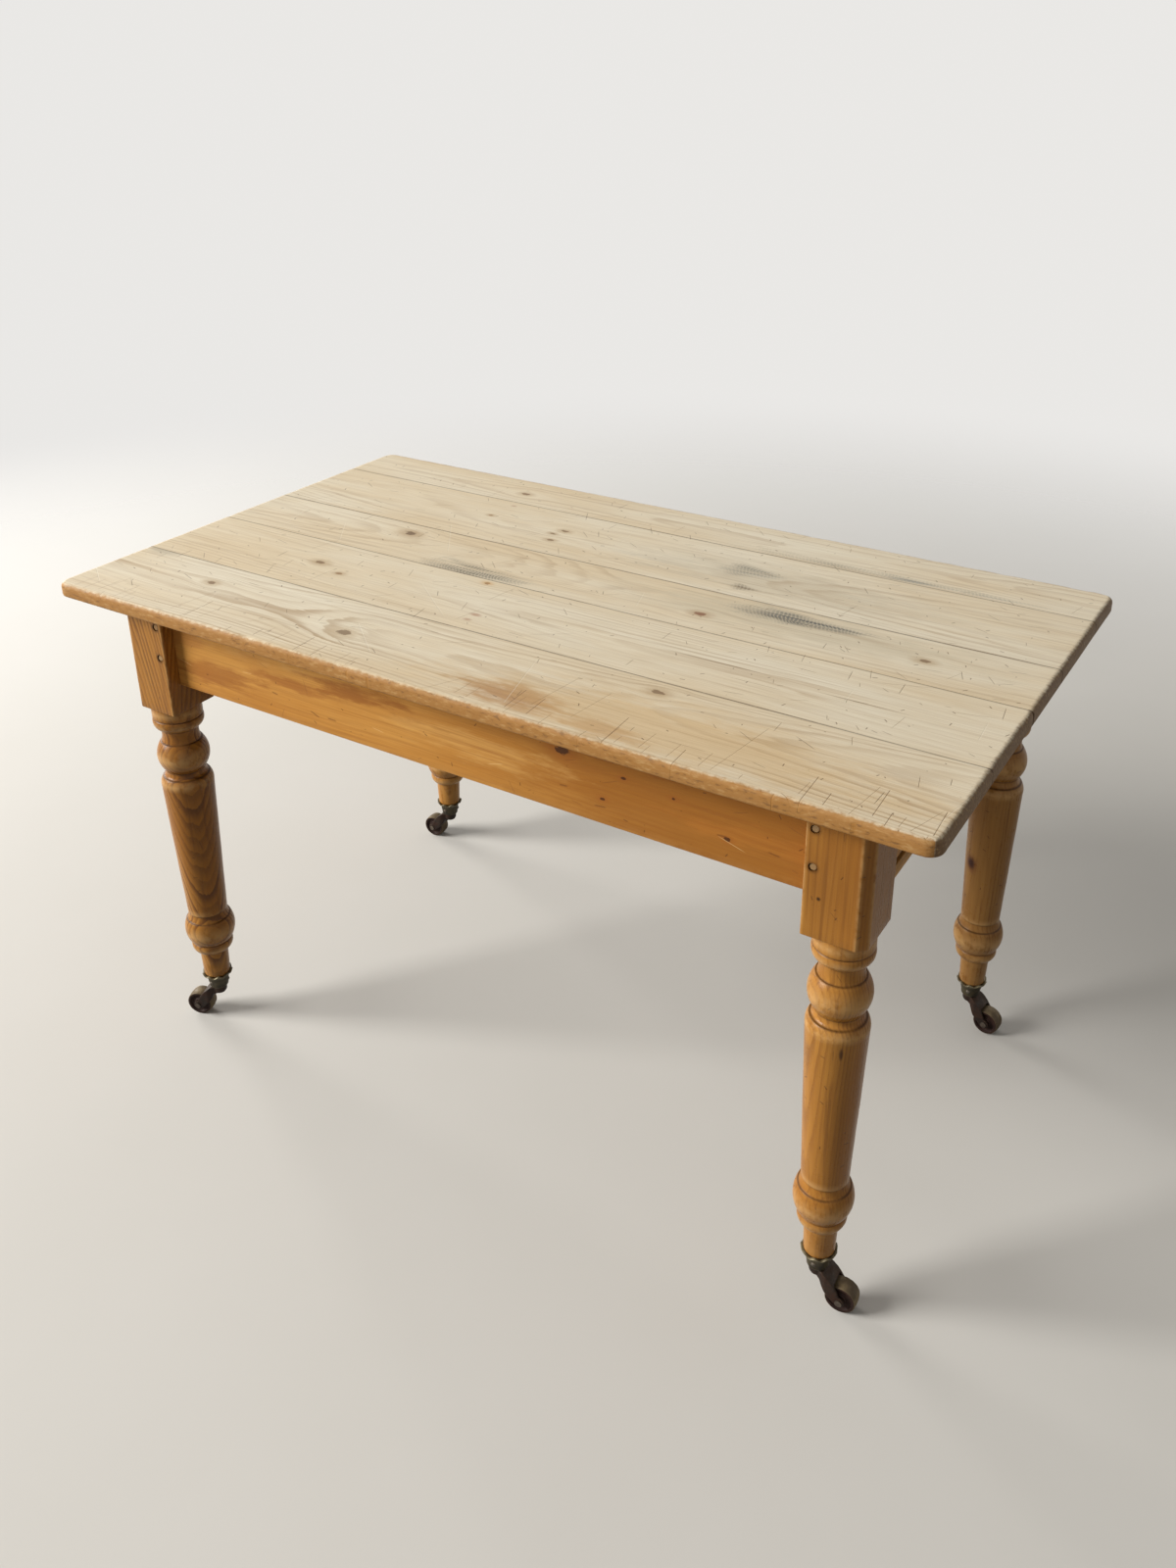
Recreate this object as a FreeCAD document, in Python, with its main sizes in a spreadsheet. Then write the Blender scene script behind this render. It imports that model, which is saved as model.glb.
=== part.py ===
import FreeCAD, Part
import Sketcher
import os
from types import SimpleNamespace
from FreeCAD import Placement, Rotation, Vector

doc = FreeCAD.newDocument("farmhouse_table")
sheet = doc.addObject("Spreadsheet::Sheet", "dims")

# Driving dimensions in millimetres, and the castors' rest angles in degrees.
sizes = {
    # Top: five boards, front to back
    "table_height": 742,
    "top_length": 1270,
    "top_thickness": 20,
    "front_board": 165,
    "second_board": 152,
    "middle_board": 124,
    "fourth_board": 165,
    "back_board": 105,
    "top_corner": 18,
    "top_arris": 6,
    "under_arris": 3,
    "overhang_left": 91,
    "overhang_right": 75,
    "overhang_front": 30,
    "overhang_back": 13,
    "dowel_radius": 4,
    "dowel_length": 40,
    # Aprons, their tenons and pegs
    "apron_height": 118,
    "apron_thickness": 22,
    "apron_setback": 20,
    "tenon_thickness": 10,
    "tenon_web": 5,
    "tenon_drop": 12,
    "tenon_rise": 10,
    "mortise_room": 1,
    "joint_clearance": 0.1,
    "peg_radius": 5,
    "peg_length": 42,
    "peg_recess": 2,
    "peg_inset": 10,
    "peg_drop": 25,
    "peg_pitch": 46.5,
    # Leg, from the block downwards and from the foot upwards
    "leg_block": 75,
    "leg_chamfer": 11,
    "block_length": 160,
    "collar_length": 19,
    "collar_radius": 35.2,
    "groove_width": 2.5,
    "groove_depth": 1.5,
    "bead_length": 18,
    "bead_bulge": 4,
    "neck_length": 20,
    "neck_radius": 26.5,
    "neck_hollow": 1.2,
    "ball_radius": 37,
    "upper_ball_length": 46,
    "upper_ball_end": 29,
    "cove_neck_length": 3,
    "cove_neck_radius": 28,
    "cove_length": 8,
    "cove_radius": 31.5,
    "cove_hollow": 1.2,
    "shoulder_length": 16,
    "shoulder_bulge": 1.6,
    "shaft_top_radius": 37,
    "shaft_bottom_radius": 28.8,
    "lower_cove_length": 12,
    "lower_ball_length": 41.5,
    "lower_ball_end": 32.5,
    "lower_ball_base": 30.5,
    "ring_length": 17,
    "ring_top_radius": 30,
    "ring_bottom_radius": 24.5,
    "ring_bulge": 3,
    "foot_length": 45.5,
    "foot_top_radius": 21.2,
    "foot_radius": 19.4,
    "spigot_radius": 12.4,
    "foot_gap": 1,
    # Drawer in the right-hand end, with what carries it
    "rail_setback": 5,
    "lower_rail_height": 17,
    "upper_rail_height": 16,
    "rail_tenon_width": 40,
    "rail_tenon_thickness": 9,
    "dovetail_neck": 26,
    "dovetail_end": 38,
    "cross_rail_thickness": 22,
    "housing_depth": 6,
    "drawer_depth": 450,
    "drawer_back_room": 20,
    "drawer_inset": 2,
    "drawer_side_gap": 2,
    "drawer_top_gap": 3,
    "drawer_slot": 5,
    "slide_gap": 0.3,
    "drawer_front_thickness": 20,
    "drawer_side_thickness": 10,
    "drawer_headroom": 14.7,
    "drawer_lap": 7,
    "drawer_bottom_rise": 11,
    "drawer_bottom_thickness": 7,
    "drawer_groove": 5,
    "drawer_back_drop": 8,
    "runner_shelf": 20,
    "guide_height": 22,
    "stop_length": 25,
    "stop_width": 40,
    "stop_catch": 3,
    "stop_spread": 150,
    "knob_shank_radius": 8,
    "knob_base_radius": 13,
    "knob_neck_length": 11,
    "knob_neck_radius": 9.5,
    "knob_swell_length": 11,
    "knob_radius": 18,
    "knob_cap_length": 10,
    "knob_face_radius": 10,
    "knob_bulge": 2.5,
    # Blocks and screws under the top
    "block_side": 22,
    "rubbed_block_length": 50,
    "screw_radius": 2.25,
    "screw_head_radius": 4.5,
    "screw_head_height": 3,
    "screw_skin": 6,
    "pilot_clearance": 0.05,
    # Castors
    "wheel_radius": 20.5,
    "wheel_width": 21,
    "wheel_crown": 0.8,
    "wheel_rim": 5,
    "wheel_hub_radius": 8,
    "wheel_dish": 2.5,
    "wheel_room": 2,
    "wheel_side_gap": 1.2,
    "swivel_gap": 0.3,
    "horn_crown": 13.5,
    "horn_web": 7,
    "horn_bow": 3,
    "horn_belly": 4,
    "horn_spread": 15,
    "horn_spread_bulge": 1.2,
    "horn_boss_radius": 11,
    "horn_boss_band": 5,
    "horn_toe_radius": 6.5,
    "horn_toe_length": 8,
    "horn_toe_bulge": 1.5,
    "cheek_thickness": 3.8,
    "cheek_eye": 7,
    "pin_radius": 4.5,
    "pin_head_radius": 8,
    "pin_head_height": 3,
    "pin_depth": 14,
    "axle_radius": 3,
    "axle_head_radius": 4.5,
    "axle_head_height": 1.5,
    "running_clearance": 0.05,
    "cup_floor": 4,
    "cup_wall": 1.8,
    "cup_swell": 2.2,
    "cup_toe_inset": 2.8,
    "cup_toe_height": 5,
    "cup_toe_bulge": 1.2,
    "cup_barrel": 13,
    "cup_flare": 9,
    "cup_flare_hollow": 1.2,
    "cup_rim_wall": 3.2,
    "cup_lip": 2,
    "cup_screw_radius": 1.75,
    "cup_screw_head_radius": 3.4,
    "cup_screw_head_height": 1.6,
    "cup_screw_slot_radius": 1,
    "cup_screw_tip_radius": 0.5,
    "cup_screw_length": 10,
    "cup_screw_bearing": 30,
    "angle_front_left": 200,
    "angle_front_right": 4,
    "angle_back_left": 183,
    "angle_back_right": 352,
}
dowels_per_joint = 5
blocks_per_apron = 3
screws_per_kicker = 3
screws_per_cup = 3
tiny = 1e-6

for row, (alias, number) in enumerate(sizes.items(), start=1):
    sheet.set(f"A{row}", alias)
    sheet.set(f"B{row}", str(number))
    sheet.setAlias(f"B{row}", alias)
doc.recompute()


class Size:
    """A length, kept as the formula that gives it from the named sizes."""

    def __init__(self, formula):
        self.formula = str(formula)

    def value(self):
        return float(sheet.evalExpression(self.formula))

    def join(self, sign, other):
        return Size(f"({self.formula} {sign} {as_size(other).formula})")

    def __add__(self, other):
        return self.join("+", other)

    def __sub__(self, other):
        return self.join("-", other)

    def __mul__(self, other):
        return self.join("*", other)

    def __truediv__(self, other):
        return self.join("/", other)

    def __neg__(self):
        return Size(f"(0 - {self.formula})")


def as_size(number):
    return number if isinstance(number, Size) else Size(number)


def trig(function, angle):
    return Size(f"{function}({angle.formula})")


d = SimpleNamespace(**{alias: Size(f"dims.{alias}") for alias in sizes})
zero = Size(0)


# Plain solids, each sized and placed by named sizes.

up = Vector(0, 0, 1)
inwards = {"+x": Vector(1, 0, 0), "+y": Vector(0, 1, 0), "-y": Vector(0, -1, 0), "+z": up}


def place(solid, x, y, z):
    for axis, size in zip("xyz", (x, y, z)):
        solid.setExpression(f"Placement.Base.{axis}", as_size(size).formula)


def turn(solid, angle):
    solid.Placement = Placement(Vector(), Rotation(up, angle.value()))
    solid.setExpression("Placement.Rotation.Angle", angle.formula)


def box(name, x, y, z):
    solid = doc.addObject("Part::Box", name)
    for side, (low, high) in zip(("Length", "Width", "Height"), (x, y, z)):
        solid.setExpression(side, (high - low).formula)
    place(solid, x[0], y[0], z[0])
    return solid


def rod(name, direction, start, radius, length):
    solid = doc.addObject("Part::Cylinder", name)
    solid.Placement = Placement(Vector(), Rotation(up, inwards[direction]))
    solid.setExpression("Radius", radius.formula)
    solid.setExpression("Height", length.formula)
    place(solid, *start)
    return solid


def fuse(name, solids):
    joined = doc.addObject("Part::MultiFuse", name)
    joined.Shapes = solids
    joined.Refine = True
    return joined


def cut(name, solid, tools):
    result = doc.addObject("Part::Cut", name)
    result.Base = solid
    result.Tool = tools[0] if len(tools) == 1 else fuse(f"{name}_cuts", tools)
    return result


def group(name, solids):
    together = doc.addObject("Part::Compound", name)
    together.Links = solids
    return together


nodes = []


def node(label, solid):
    solid.Label = label
    nodes.append(solid)
    return solid


def sketch_on(body, plane, name, height=None):
    sketch = body.newObject("Sketcher::SketchObject", name)
    support = next(item for item in body.Origin.OriginFeatures if item.Role == plane)
    sketch.AttachmentSupport = [(support, "")]
    sketch.MapMode = "FlatFace"
    if height is not None:
        sketch.setExpression("AttachmentOffset.Base.z", height.formula)
    return sketch


def draw(sketch, outline):
    """Close an outline of (across, along, bulge); a bulge bows the next side to its right."""
    corners = [(across, along) for across, along, bulge in outline]
    points = [Vector(across.value(), along.value(), 0) for across, along in corners]
    for index, (across, along, bulge) in enumerate(outline):
        start = points[index]
        end = points[(index + 1) % len(points)]
        if bulge is None:
            sketch.addGeometry(Part.LineSegment(start, end), False)
            continue
        step = end - start
        right = Vector(step.y, -step.x, 0).normalize()
        sketch.addGeometry(Part.Arc(start, (start + end) / 2 + right * bulge.value(), end), False)
    for index, (across, along, bulge) in enumerate(outline):
        after = (index + 1) % len(points)
        first = end_at(sketch, index, points[index])
        sketch.addConstraint(Sketcher.Constraint(
            "Coincident", index, 3 - first, after, end_at(sketch, after, points[after])))
        bind(sketch, ("DistanceX", -1, 1, index, first), corners[index][0])
        bind(sketch, ("DistanceY", -1, 1, index, first), corners[index][1])
        if bulge is not None:
            run = corners[after][0] - corners[index][0]
            rise = corners[after][1] - corners[index][1]
            depth = bulge if bulge.value() > 0 else -bulge
            bind(sketch, ("Radius", index), (run * run + rise * rise) / (depth * 8) + depth / 2)


def end_at(sketch, side, point):
    return 1 if sketch.getPoint(side, 1).distanceToPoint(point) < tiny else 2


def bind(sketch, target, size):
    index = sketch.addConstraint(Sketcher.Constraint(*target, size.value()))
    sketch.setExpression(f"Constraints[{index}]", size.formula)


def add_pad(body, sketch, name, length, symmetric=False):
    feature = body.newObject("PartDesign::Pad", name)
    feature.Profile = (sketch, [""])
    feature.setExpression("Length", length.formula)
    if symmetric:
        feature.SideType = "Symmetric"


def add_turning(body, sketch, name, axis):
    feature = body.newObject("PartDesign::Revolution", name)
    feature.Profile = (sketch, [""])
    feature.ReferenceAxis = (sketch, [axis])
    feature.Angle = 360


def turned(name, plane, axis, outline):
    body = doc.addObject("PartDesign::Body", name)
    sketch = sketch_on(body, plane, f"{name}_profile")
    draw(sketch, outline)
    add_turning(body, sketch, f"{name}_turning", axis)
    return body


# Levels and faces that several pieces share.
board_widths = [d.front_board, d.second_board, d.middle_board, d.fourth_board, d.back_board]
top_width = board_widths[0] + board_widths[1] + board_widths[2] + board_widths[3] + board_widths[4]
underside = d.table_height - d.top_thickness
apron_bottom = underside - d.apron_height
tenon_length = (d.leg_block - d.apron_setback - (d.apron_thickness + d.tenon_thickness) / 2
                - d.tenon_web)
left_face = d.overhang_left - d.top_length / 2
right_face = d.top_length / 2 - d.overhang_right
front_face = d.overhang_front - top_width / 2
back_face = top_width / 2 - d.overhang_back
left_inner = left_face + d.leg_block
right_inner = right_face - d.leg_block
front_inner = front_face + d.leg_block
back_inner = back_face - d.leg_block
front_apron = (front_face + d.apron_setback, front_face + d.apron_setback + d.apron_thickness)
back_apron = (back_face - d.apron_setback - d.apron_thickness, back_face - d.apron_setback)
left_apron = (left_face + d.apron_setback, left_face + d.apron_setback + d.apron_thickness)
apron_levels = (apron_bottom, underside)
tenon_levels = (apron_bottom + d.tenon_rise, underside - d.tenon_drop)
peg_levels = [underside - d.peg_drop, underside - d.peg_drop - d.peg_pitch]
lower_rail = (apron_bottom, apron_bottom + d.lower_rail_height)
upper_rail = (underside - d.upper_rail_height, underside)
rail_face = right_face - d.rail_setback
drawer_face = rail_face - d.drawer_inset
drawer_end = drawer_face - d.drawer_depth
cross_rail = (drawer_end - d.drawer_back_room - d.cross_rail_thickness, drawer_end - d.drawer_back_room)
trail = d.wheel_radius + d.wheel_room + d.horn_web + d.pin_radius
swivel_height = d.wheel_radius * 2 + d.wheel_room + d.horn_crown
cup_bottom = swivel_height + d.swivel_gap
cup_floor_top = cup_bottom + d.cup_floor
cup_barrel = (cup_bottom + d.cup_toe_height, cup_bottom + d.cup_toe_height + d.cup_barrel)
cup_rim = cup_barrel[1] + d.cup_flare + d.cup_lip
socket_radius = d.spigot_radius + d.joint_clearance
cup_radius = socket_radius + d.cup_wall
cup_shoulder_radius = cup_radius + d.cup_swell
cup_mouth_radius = d.foot_radius + d.joint_clearance
pin_head = cup_floor_top + d.swivel_gap
foot_bottom = pin_head + d.pin_head_height + d.foot_gap
horn_half_width = d.wheel_width / 2 + d.wheel_side_gap + d.cheek_thickness
legs = {
    "front_left": (left_face + d.leg_block / 2, front_face + d.leg_block / 2, -1, -1),
    "front_right": (right_face - d.leg_block / 2, front_face + d.leg_block / 2, 1, -1),
    "back_left": (left_face + d.leg_block / 2, back_face - d.leg_block / 2, -1, 1),
    "back_right": (right_face - d.leg_block / 2, back_face - d.leg_block / 2, 1, 1),
}


def middle(span):
    return (span[0] + span[1]) / 2


def about(centre, width):
    return (centre - width / 2, centre + width / 2)


def grown(span, room):
    return (span[0] - room, span[1] + room)


def spread(span, count):
    step = (span[1] - span[0]) / count
    return [span[0] + step * (index + 0.5) for index in range(count)]


# Pegs, dowels and screws, each with the hole that takes it.

def peg_and_hole(name, direction, mouth):
    inner = [size + d.peg_recess * step for size, step in zip(mouth, inwards[direction])]
    peg = rod(name, direction, inner, d.peg_radius, d.peg_length)
    hole = rod(f"{name}_hole", direction, mouth, d.peg_radius + d.pilot_clearance,
               d.peg_length + d.peg_recess)
    return peg, hole


def peg_set(label, mouths):
    pairs = []
    for index, (direction, across, along) in enumerate(mouths):
        for level, height in enumerate(peg_levels):
            pairs.append(peg_and_hole(f"{label}_{index}_{level}", direction, (across, along, height)))
    node(label, group(label, [peg for peg, hole in pairs]))
    return [hole for peg, hole in pairs]


def long_pegs():
    places = [left_inner - d.peg_inset, right_inner + d.peg_inset]
    mouths = [("+y", across, front_face) for across in places]
    mouths += [("-y", across, back_face) for across in places]
    return peg_set("long_apron_pegs", mouths)


def end_pegs():
    places = [front_inner - d.peg_inset, back_inner + d.peg_inset]
    return peg_set("end_apron_pegs", [("+x", left_face, along) for along in places])


def board_joints():
    joints = []
    place_now = -top_width / 2
    for width in board_widths[:-1]:
        place_now = place_now + width
        joints.append(place_now)
    return joints


def top_dowels():
    dowels = []
    holes = []
    across = spread((-d.top_length / 2, d.top_length / 2), dowels_per_joint)
    height = d.table_height - d.top_thickness / 2
    for joint, along in enumerate(board_joints()):
        for index, place_x in enumerate(across):
            name = f"dowel_{joint}_{index}"
            start = (place_x, along - d.dowel_length / 2, height)
            dowels.append(rod(name, "+y", start, d.dowel_radius, d.dowel_length))
            holes.append(rod(f"{name}_hole", "+y", start, d.dowel_radius + d.pilot_clearance,
                             d.dowel_length))
    node("top_dowels", group("top_dowels", dowels))
    return holes


def wood_screw(name, start, room):
    head = doc.addObject("Part::Cone", f"{name}_head")
    head.setExpression("Radius1", (d.screw_head_radius + room).formula)
    head.setExpression("Radius2", (d.screw_radius + room).formula)
    head.setExpression("Height", d.screw_head_height.formula)
    place(head, *start)
    length = d.table_height - d.screw_skin - start[2]
    shank = rod(f"{name}_shank", "+z", start, d.screw_radius + room, length)
    return fuse(name, [head, shank])


def top_screw_places():
    block_middle = d.block_side / 2
    shelf_middle = (front_inner + d.runner_shelf - front_apron[1]) / 2
    places = []
    for across in spread((left_inner, cross_rail[0]), blocks_per_apron):
        places.append((across, front_apron[1] + block_middle, underside - d.block_side))
        places.append((across, back_apron[0] - block_middle, underside - d.block_side))
    for along in end_block_places():
        places.append((left_apron[1] + block_middle, along, underside - d.block_side))
        places.append((right_face - d.leg_block / 2, along, upper_rail[0]))
    for across in spread((cross_rail[1], right_inner), screws_per_kicker):
        places.append((across, front_apron[1] + shelf_middle, upper_rail[0]))
        places.append((across, back_apron[0] - shelf_middle, upper_rail[0]))
    return places


def end_block_places():
    joints = board_joints()
    return [middle((joints[0], joints[1])), middle((joints[2], joints[3]))]


def top_screws():
    screws = []
    holes = []
    for index, start in enumerate(top_screw_places()):
        screws.append(wood_screw(f"top_screw_{index}", start, zero))
        holes.append(wood_screw(f"top_pilot_{index}", start, d.pilot_clearance))
    node("top_screws", group("top_screws", screws))
    return holes


# Top: one slab with worn corners and arrises, sawn into its boards.

def edges_where(solid, wanted):
    return [f"Edge{number}" for number, edge in enumerate(solid.Shape.Edges, start=1) if wanted(edge)]


def add_fillet(body, name, wanted, radius):
    doc.recompute()
    base = body.Tip
    feature = body.newObject("PartDesign::Fillet", name)
    feature.Base = (base, edges_where(base, wanted))
    feature.setExpression("Radius", radius.formula)


def top_slab():
    body = doc.addObject("PartDesign::Body", "top_slab")
    sketch = sketch_on(body, "XY_Plane", "top_outline", underside)
    reach = d.top_length / 2
    depth = top_width / 2
    corners = [(-reach, -depth), (reach, -depth), (reach, depth), (-reach, depth)]
    draw(sketch, [(across, along, None) for across, along in corners])
    add_pad(body, sketch, "top_pad", d.top_thickness)
    add_fillet(body, "top_corners", lambda edge: edge.BoundBox.ZLength > tiny, d.top_corner)
    high = d.table_height.value()
    low = underside.value()
    add_fillet(body, "top_edge", lambda edge: edge.BoundBox.ZMin > high - tiny, d.top_arris)
    add_fillet(body, "under_edge", lambda edge: edge.BoundBox.ZMax < low + tiny, d.under_arris)
    return body


def top_boards(holes):
    slab = top_slab()
    edges = [-top_width / 2] + board_joints() + [top_width / 2]
    for index, name in enumerate(("front", "second", "middle", "fourth", "back")):
        strip = box(f"{name}_strip", (-d.top_length / 2, d.top_length / 2),
                    (edges[index], edges[index + 1]), (underside, d.table_height))
        blank = doc.addObject("Part::Common", f"{name}_blank")
        blank.Base = slab
        blank.Tool = strip
        node(f"top_board_{name}", cut(f"top_board_{name}", blank, holes))


# Aprons with a tenon at each end, and the cross rail housed between them.

def tenon_middle(span):
    return about(middle(span), d.tenon_thickness)


def cross_rail_piece():
    span = (front_apron[1] - d.housing_depth, back_apron[0] + d.housing_depth)
    node("cross_rail", box("cross_rail", cross_rail, span, apron_levels))
    return box("cross_rail_housing", grown(cross_rail, d.joint_clearance), span, apron_levels)


def long_apron(name, depth, cuts):
    between = box(f"{name}_board", (left_inner, right_inner), depth, apron_levels)
    tongue = box(f"{name}_tenons", (left_inner - tenon_length, right_inner + tenon_length),
                 tenon_middle(depth), tenon_levels)
    node(name, cut(name, fuse(f"{name}_blank", [between, tongue]), cuts))


def end_apron(cuts):
    between = box("apron_left_board", left_apron, (front_inner, back_inner), apron_levels)
    tongue = box("apron_left_tenons", tenon_middle(left_apron),
                 (front_inner - tenon_length, back_inner + tenon_length), tenon_levels)
    node("apron_left", cut("apron_left", fuse("apron_left_blank", [between, tongue]), cuts))


# Rails over and under the drawer.

def rail_tenon():
    across = about(right_face - d.leg_block / 2, d.rail_tenon_width)
    return across, about(middle(lower_rail), d.rail_tenon_thickness)


def lower_drawer_rail():
    between = box("lower_rail_board", (right_inner, rail_face), (front_inner, back_inner), lower_rail)
    across, level = rail_tenon()
    tongue = box("lower_rail_tenons", across,
                 (front_inner - tenon_length, back_inner + tenon_length), level)
    node("drawer_rail_lower", fuse("drawer_rail_lower", [between, tongue]))


def dovetail_outline(room):
    centre = right_face - d.leg_block / 2
    neck = d.dovetail_neck / 2 + room
    end = d.dovetail_end / 2 + room
    front_tip = front_inner - tenon_length - room
    back_tip = back_inner + tenon_length + room
    return [
        (right_inner, front_inner, None), (centre - neck, front_inner, None),
        (centre - end, front_tip, None), (centre + end, front_tip, None),
        (centre + neck, front_inner, None), (rail_face, front_inner, None),
        (rail_face, back_inner, None), (centre + neck, back_inner, None),
        (centre + end, back_tip, None), (centre - end, back_tip, None),
        (centre - neck, back_inner, None), (right_inner, back_inner, None),
    ]


def dovetailed_rail(name, room):
    body = doc.addObject("PartDesign::Body", name)
    sketch = sketch_on(body, "XY_Plane", f"{name}_outline", upper_rail[0] - room)
    draw(sketch, dovetail_outline(room))
    add_pad(body, sketch, f"{name}_pad", d.upper_rail_height + room)
    return body


def upper_drawer_rail(screw_holes):
    node("drawer_rail_upper", cut("drawer_rail_upper", dovetailed_rail("upper_rail", zero), screw_holes))
    return dovetailed_rail("upper_rail_socket", d.joint_clearance)


# Turned legs with their mortises.

def leg_profile():
    block_bottom = underside - d.block_length
    collar_bottom = block_bottom - d.collar_length
    bead_top = collar_bottom - d.groove_width
    bead_bottom = bead_top - d.bead_length
    ball_top = bead_bottom - d.neck_length
    ball_bottom = ball_top - d.upper_ball_length
    cove_top = ball_bottom - d.cove_neck_length
    cove_bottom = cove_top - d.cove_length
    shaft_top = cove_bottom - d.shoulder_length
    ring_bottom = cup_rim + d.foot_length
    ring_top = ring_bottom + d.ring_length
    low_ball_bottom = ring_top + d.groove_width
    low_ball_top = low_ball_bottom + d.lower_ball_length
    shaft_bottom = low_ball_top + d.lower_cove_length
    return [
        (zero, foot_bottom, None),
        (d.spigot_radius, foot_bottom, None),
        (d.spigot_radius, cup_barrel[1], None),
        (d.foot_radius, cup_rim, None),
        (d.foot_top_radius, ring_bottom, None),
        (d.ring_bottom_radius, ring_bottom, d.ring_bulge),
        (d.ring_top_radius, ring_top, None),
        (d.ring_top_radius - d.groove_depth, ring_top + d.groove_width / 2, None),
        (d.lower_ball_base, low_ball_bottom, d.ball_radius - middle((d.lower_ball_base, d.lower_ball_end))),
        (d.lower_ball_end, low_ball_top, None),
        (d.lower_ball_end - d.groove_depth, low_ball_top, -d.cove_hollow / 2),
        (d.shaft_bottom_radius - d.groove_depth, shaft_bottom, None),
        (d.shaft_bottom_radius, shaft_bottom, None),
        (d.shaft_top_radius, shaft_top, d.shoulder_bulge),
        (d.cove_radius + d.groove_depth, cove_bottom, None),
        (d.cove_radius, cove_bottom, -d.cove_hollow),
        (d.cove_neck_radius, cove_top, None),
        (d.cove_neck_radius, ball_bottom, None),
        (d.upper_ball_end, ball_bottom, d.ball_radius - d.upper_ball_end),
        (d.upper_ball_end, ball_top, None),
        (d.upper_ball_end - d.groove_depth, ball_top, -d.neck_hollow),
        (d.neck_radius, bead_bottom, d.bead_bulge),
        (d.collar_radius, bead_top, None),
        (d.collar_radius - d.groove_depth, bead_top + d.groove_width / 2, None),
        (d.collar_radius, collar_bottom, None),
        (d.collar_radius, block_bottom, None),
        (zero, block_bottom, None),
    ]


def leg_block_outline(side_x, side_y):
    half = d.leg_block / 2
    flat = half - d.leg_chamfer
    return [
        (half * -side_x, half * -side_y, None), (half * side_x, half * -side_y, None),
        (half * side_x, flat * side_y, None), (flat * side_x, half * side_y, None),
        (half * -side_x, half * side_y, None),
    ]


def leg_blank(name, side_x, side_y):
    body = turned(f"{name}_blank", "XZ_Plane", "V_Axis", leg_profile())
    sketch = sketch_on(body, "XY_Plane", f"{name}_block", underside - d.block_length)
    draw(sketch, leg_block_outline(side_x, side_y))
    add_pad(body, sketch, f"{name}_block_pad", d.block_length)
    return body


def mortises(name, side_x, side_y):
    depth = tenon_length + d.mortise_room
    long_across = (right_inner, right_inner + depth) if side_x > 0 else (left_inner - depth, left_inner)
    end_along = (back_inner, back_inner + depth) if side_y > 0 else (front_inner - depth, front_inner)
    long_depth = tenon_middle(back_apron if side_y > 0 else front_apron)
    room = d.joint_clearance
    cuts = [box(f"{name}_long_mortise", long_across, grown(long_depth, room), grown(tenon_levels, room))]
    if side_x < 0:
        cuts.append(box(f"{name}_end_mortise", grown(tenon_middle(left_apron), room), end_along,
                        grown(tenon_levels, room)))
    else:
        across, level = rail_tenon()
        cuts.append(box(f"{name}_rail_mortise", grown(across, room), end_along, grown(level, room)))
    return cuts


def leg(corner, peg_cuts, rail_socket, screw_cuts):
    centre_x, centre_y, side_x, side_y = legs[corner]
    name = f"leg_{corner}"
    blank = leg_blank(name, side_x, side_y)
    place(blank, centre_x, centre_y, zero)
    cuts = mortises(name, side_x, side_y) + peg_cuts + screw_cuts
    if side_x > 0:
        cuts = cuts + [rail_socket]
    node(name, cut(name, blank, cuts))


# What carries the drawer: runners, guides, kickers and stops.

def drawer_ways(screw_holes):
    along_x = (cross_rail[1], right_inner)
    sides = {
        "front": ((front_apron[1], front_inner), (front_apron[1], front_inner + d.runner_shelf)),
        "back": ((back_inner, back_apron[0]), (back_inner - d.runner_shelf, back_apron[0])),
    }
    for side, (narrow, wide) in sides.items():
        node(f"drawer_runner_{side}", box(f"drawer_runner_{side}", along_x, wide, lower_rail))
        node(f"drawer_guide_{side}", box(f"drawer_guide_{side}", along_x, narrow,
                                         (lower_rail[1], lower_rail[1] + d.guide_height)))
        kicker = box(f"kicker_{side}_blank", along_x, wide, upper_rail)
        node(f"drawer_kicker_{side}", cut(f"drawer_kicker_{side}", kicker, screw_holes))


def drawer_stops():
    stop_face = drawer_shoulder - d.slide_gap
    level = (lower_rail[1], lower_rail[1] + d.drawer_slot + d.stop_catch)
    stops = []
    for side, sign in (("front", -1), ("back", 1)):
        along = middle((front_inner, back_inner)) + d.stop_spread * sign
        stops.append(box(f"stop_{side}", (stop_face - d.stop_length, stop_face),
                         about(along, d.stop_width), level))
    node("drawer_stops", group("drawer_stops", stops))


# Drawer: front, sides let into it, back, and a bottom in grooves.

drawer_shoulder = drawer_face - d.drawer_front_thickness
drawer_lap_face = drawer_face - d.drawer_lap
drawer_wide = (front_inner + d.drawer_side_gap, back_inner - d.drawer_side_gap)
drawer_sides = {
    "front": (drawer_wide[0], drawer_wide[0] + d.drawer_side_thickness),
    "back": (drawer_wide[1] - d.drawer_side_thickness, drawer_wide[1]),
}
drawer_inside = (drawer_sides["front"][1], drawer_sides["back"][0])
drawer_front_levels = (lower_rail[1] + d.drawer_slot, upper_rail[0] - d.drawer_top_gap)
drawer_side_levels = (lower_rail[1] + d.slide_gap, upper_rail[0] - d.drawer_headroom)
drawer_floor = drawer_side_levels[0] + d.drawer_bottom_rise
drawer_bottom_levels = (drawer_floor, drawer_floor + d.drawer_bottom_thickness)
drawer_bottom_wide = grown(drawer_inside, d.drawer_groove)
knob_centre = (middle(drawer_wide), middle(drawer_front_levels))


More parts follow.
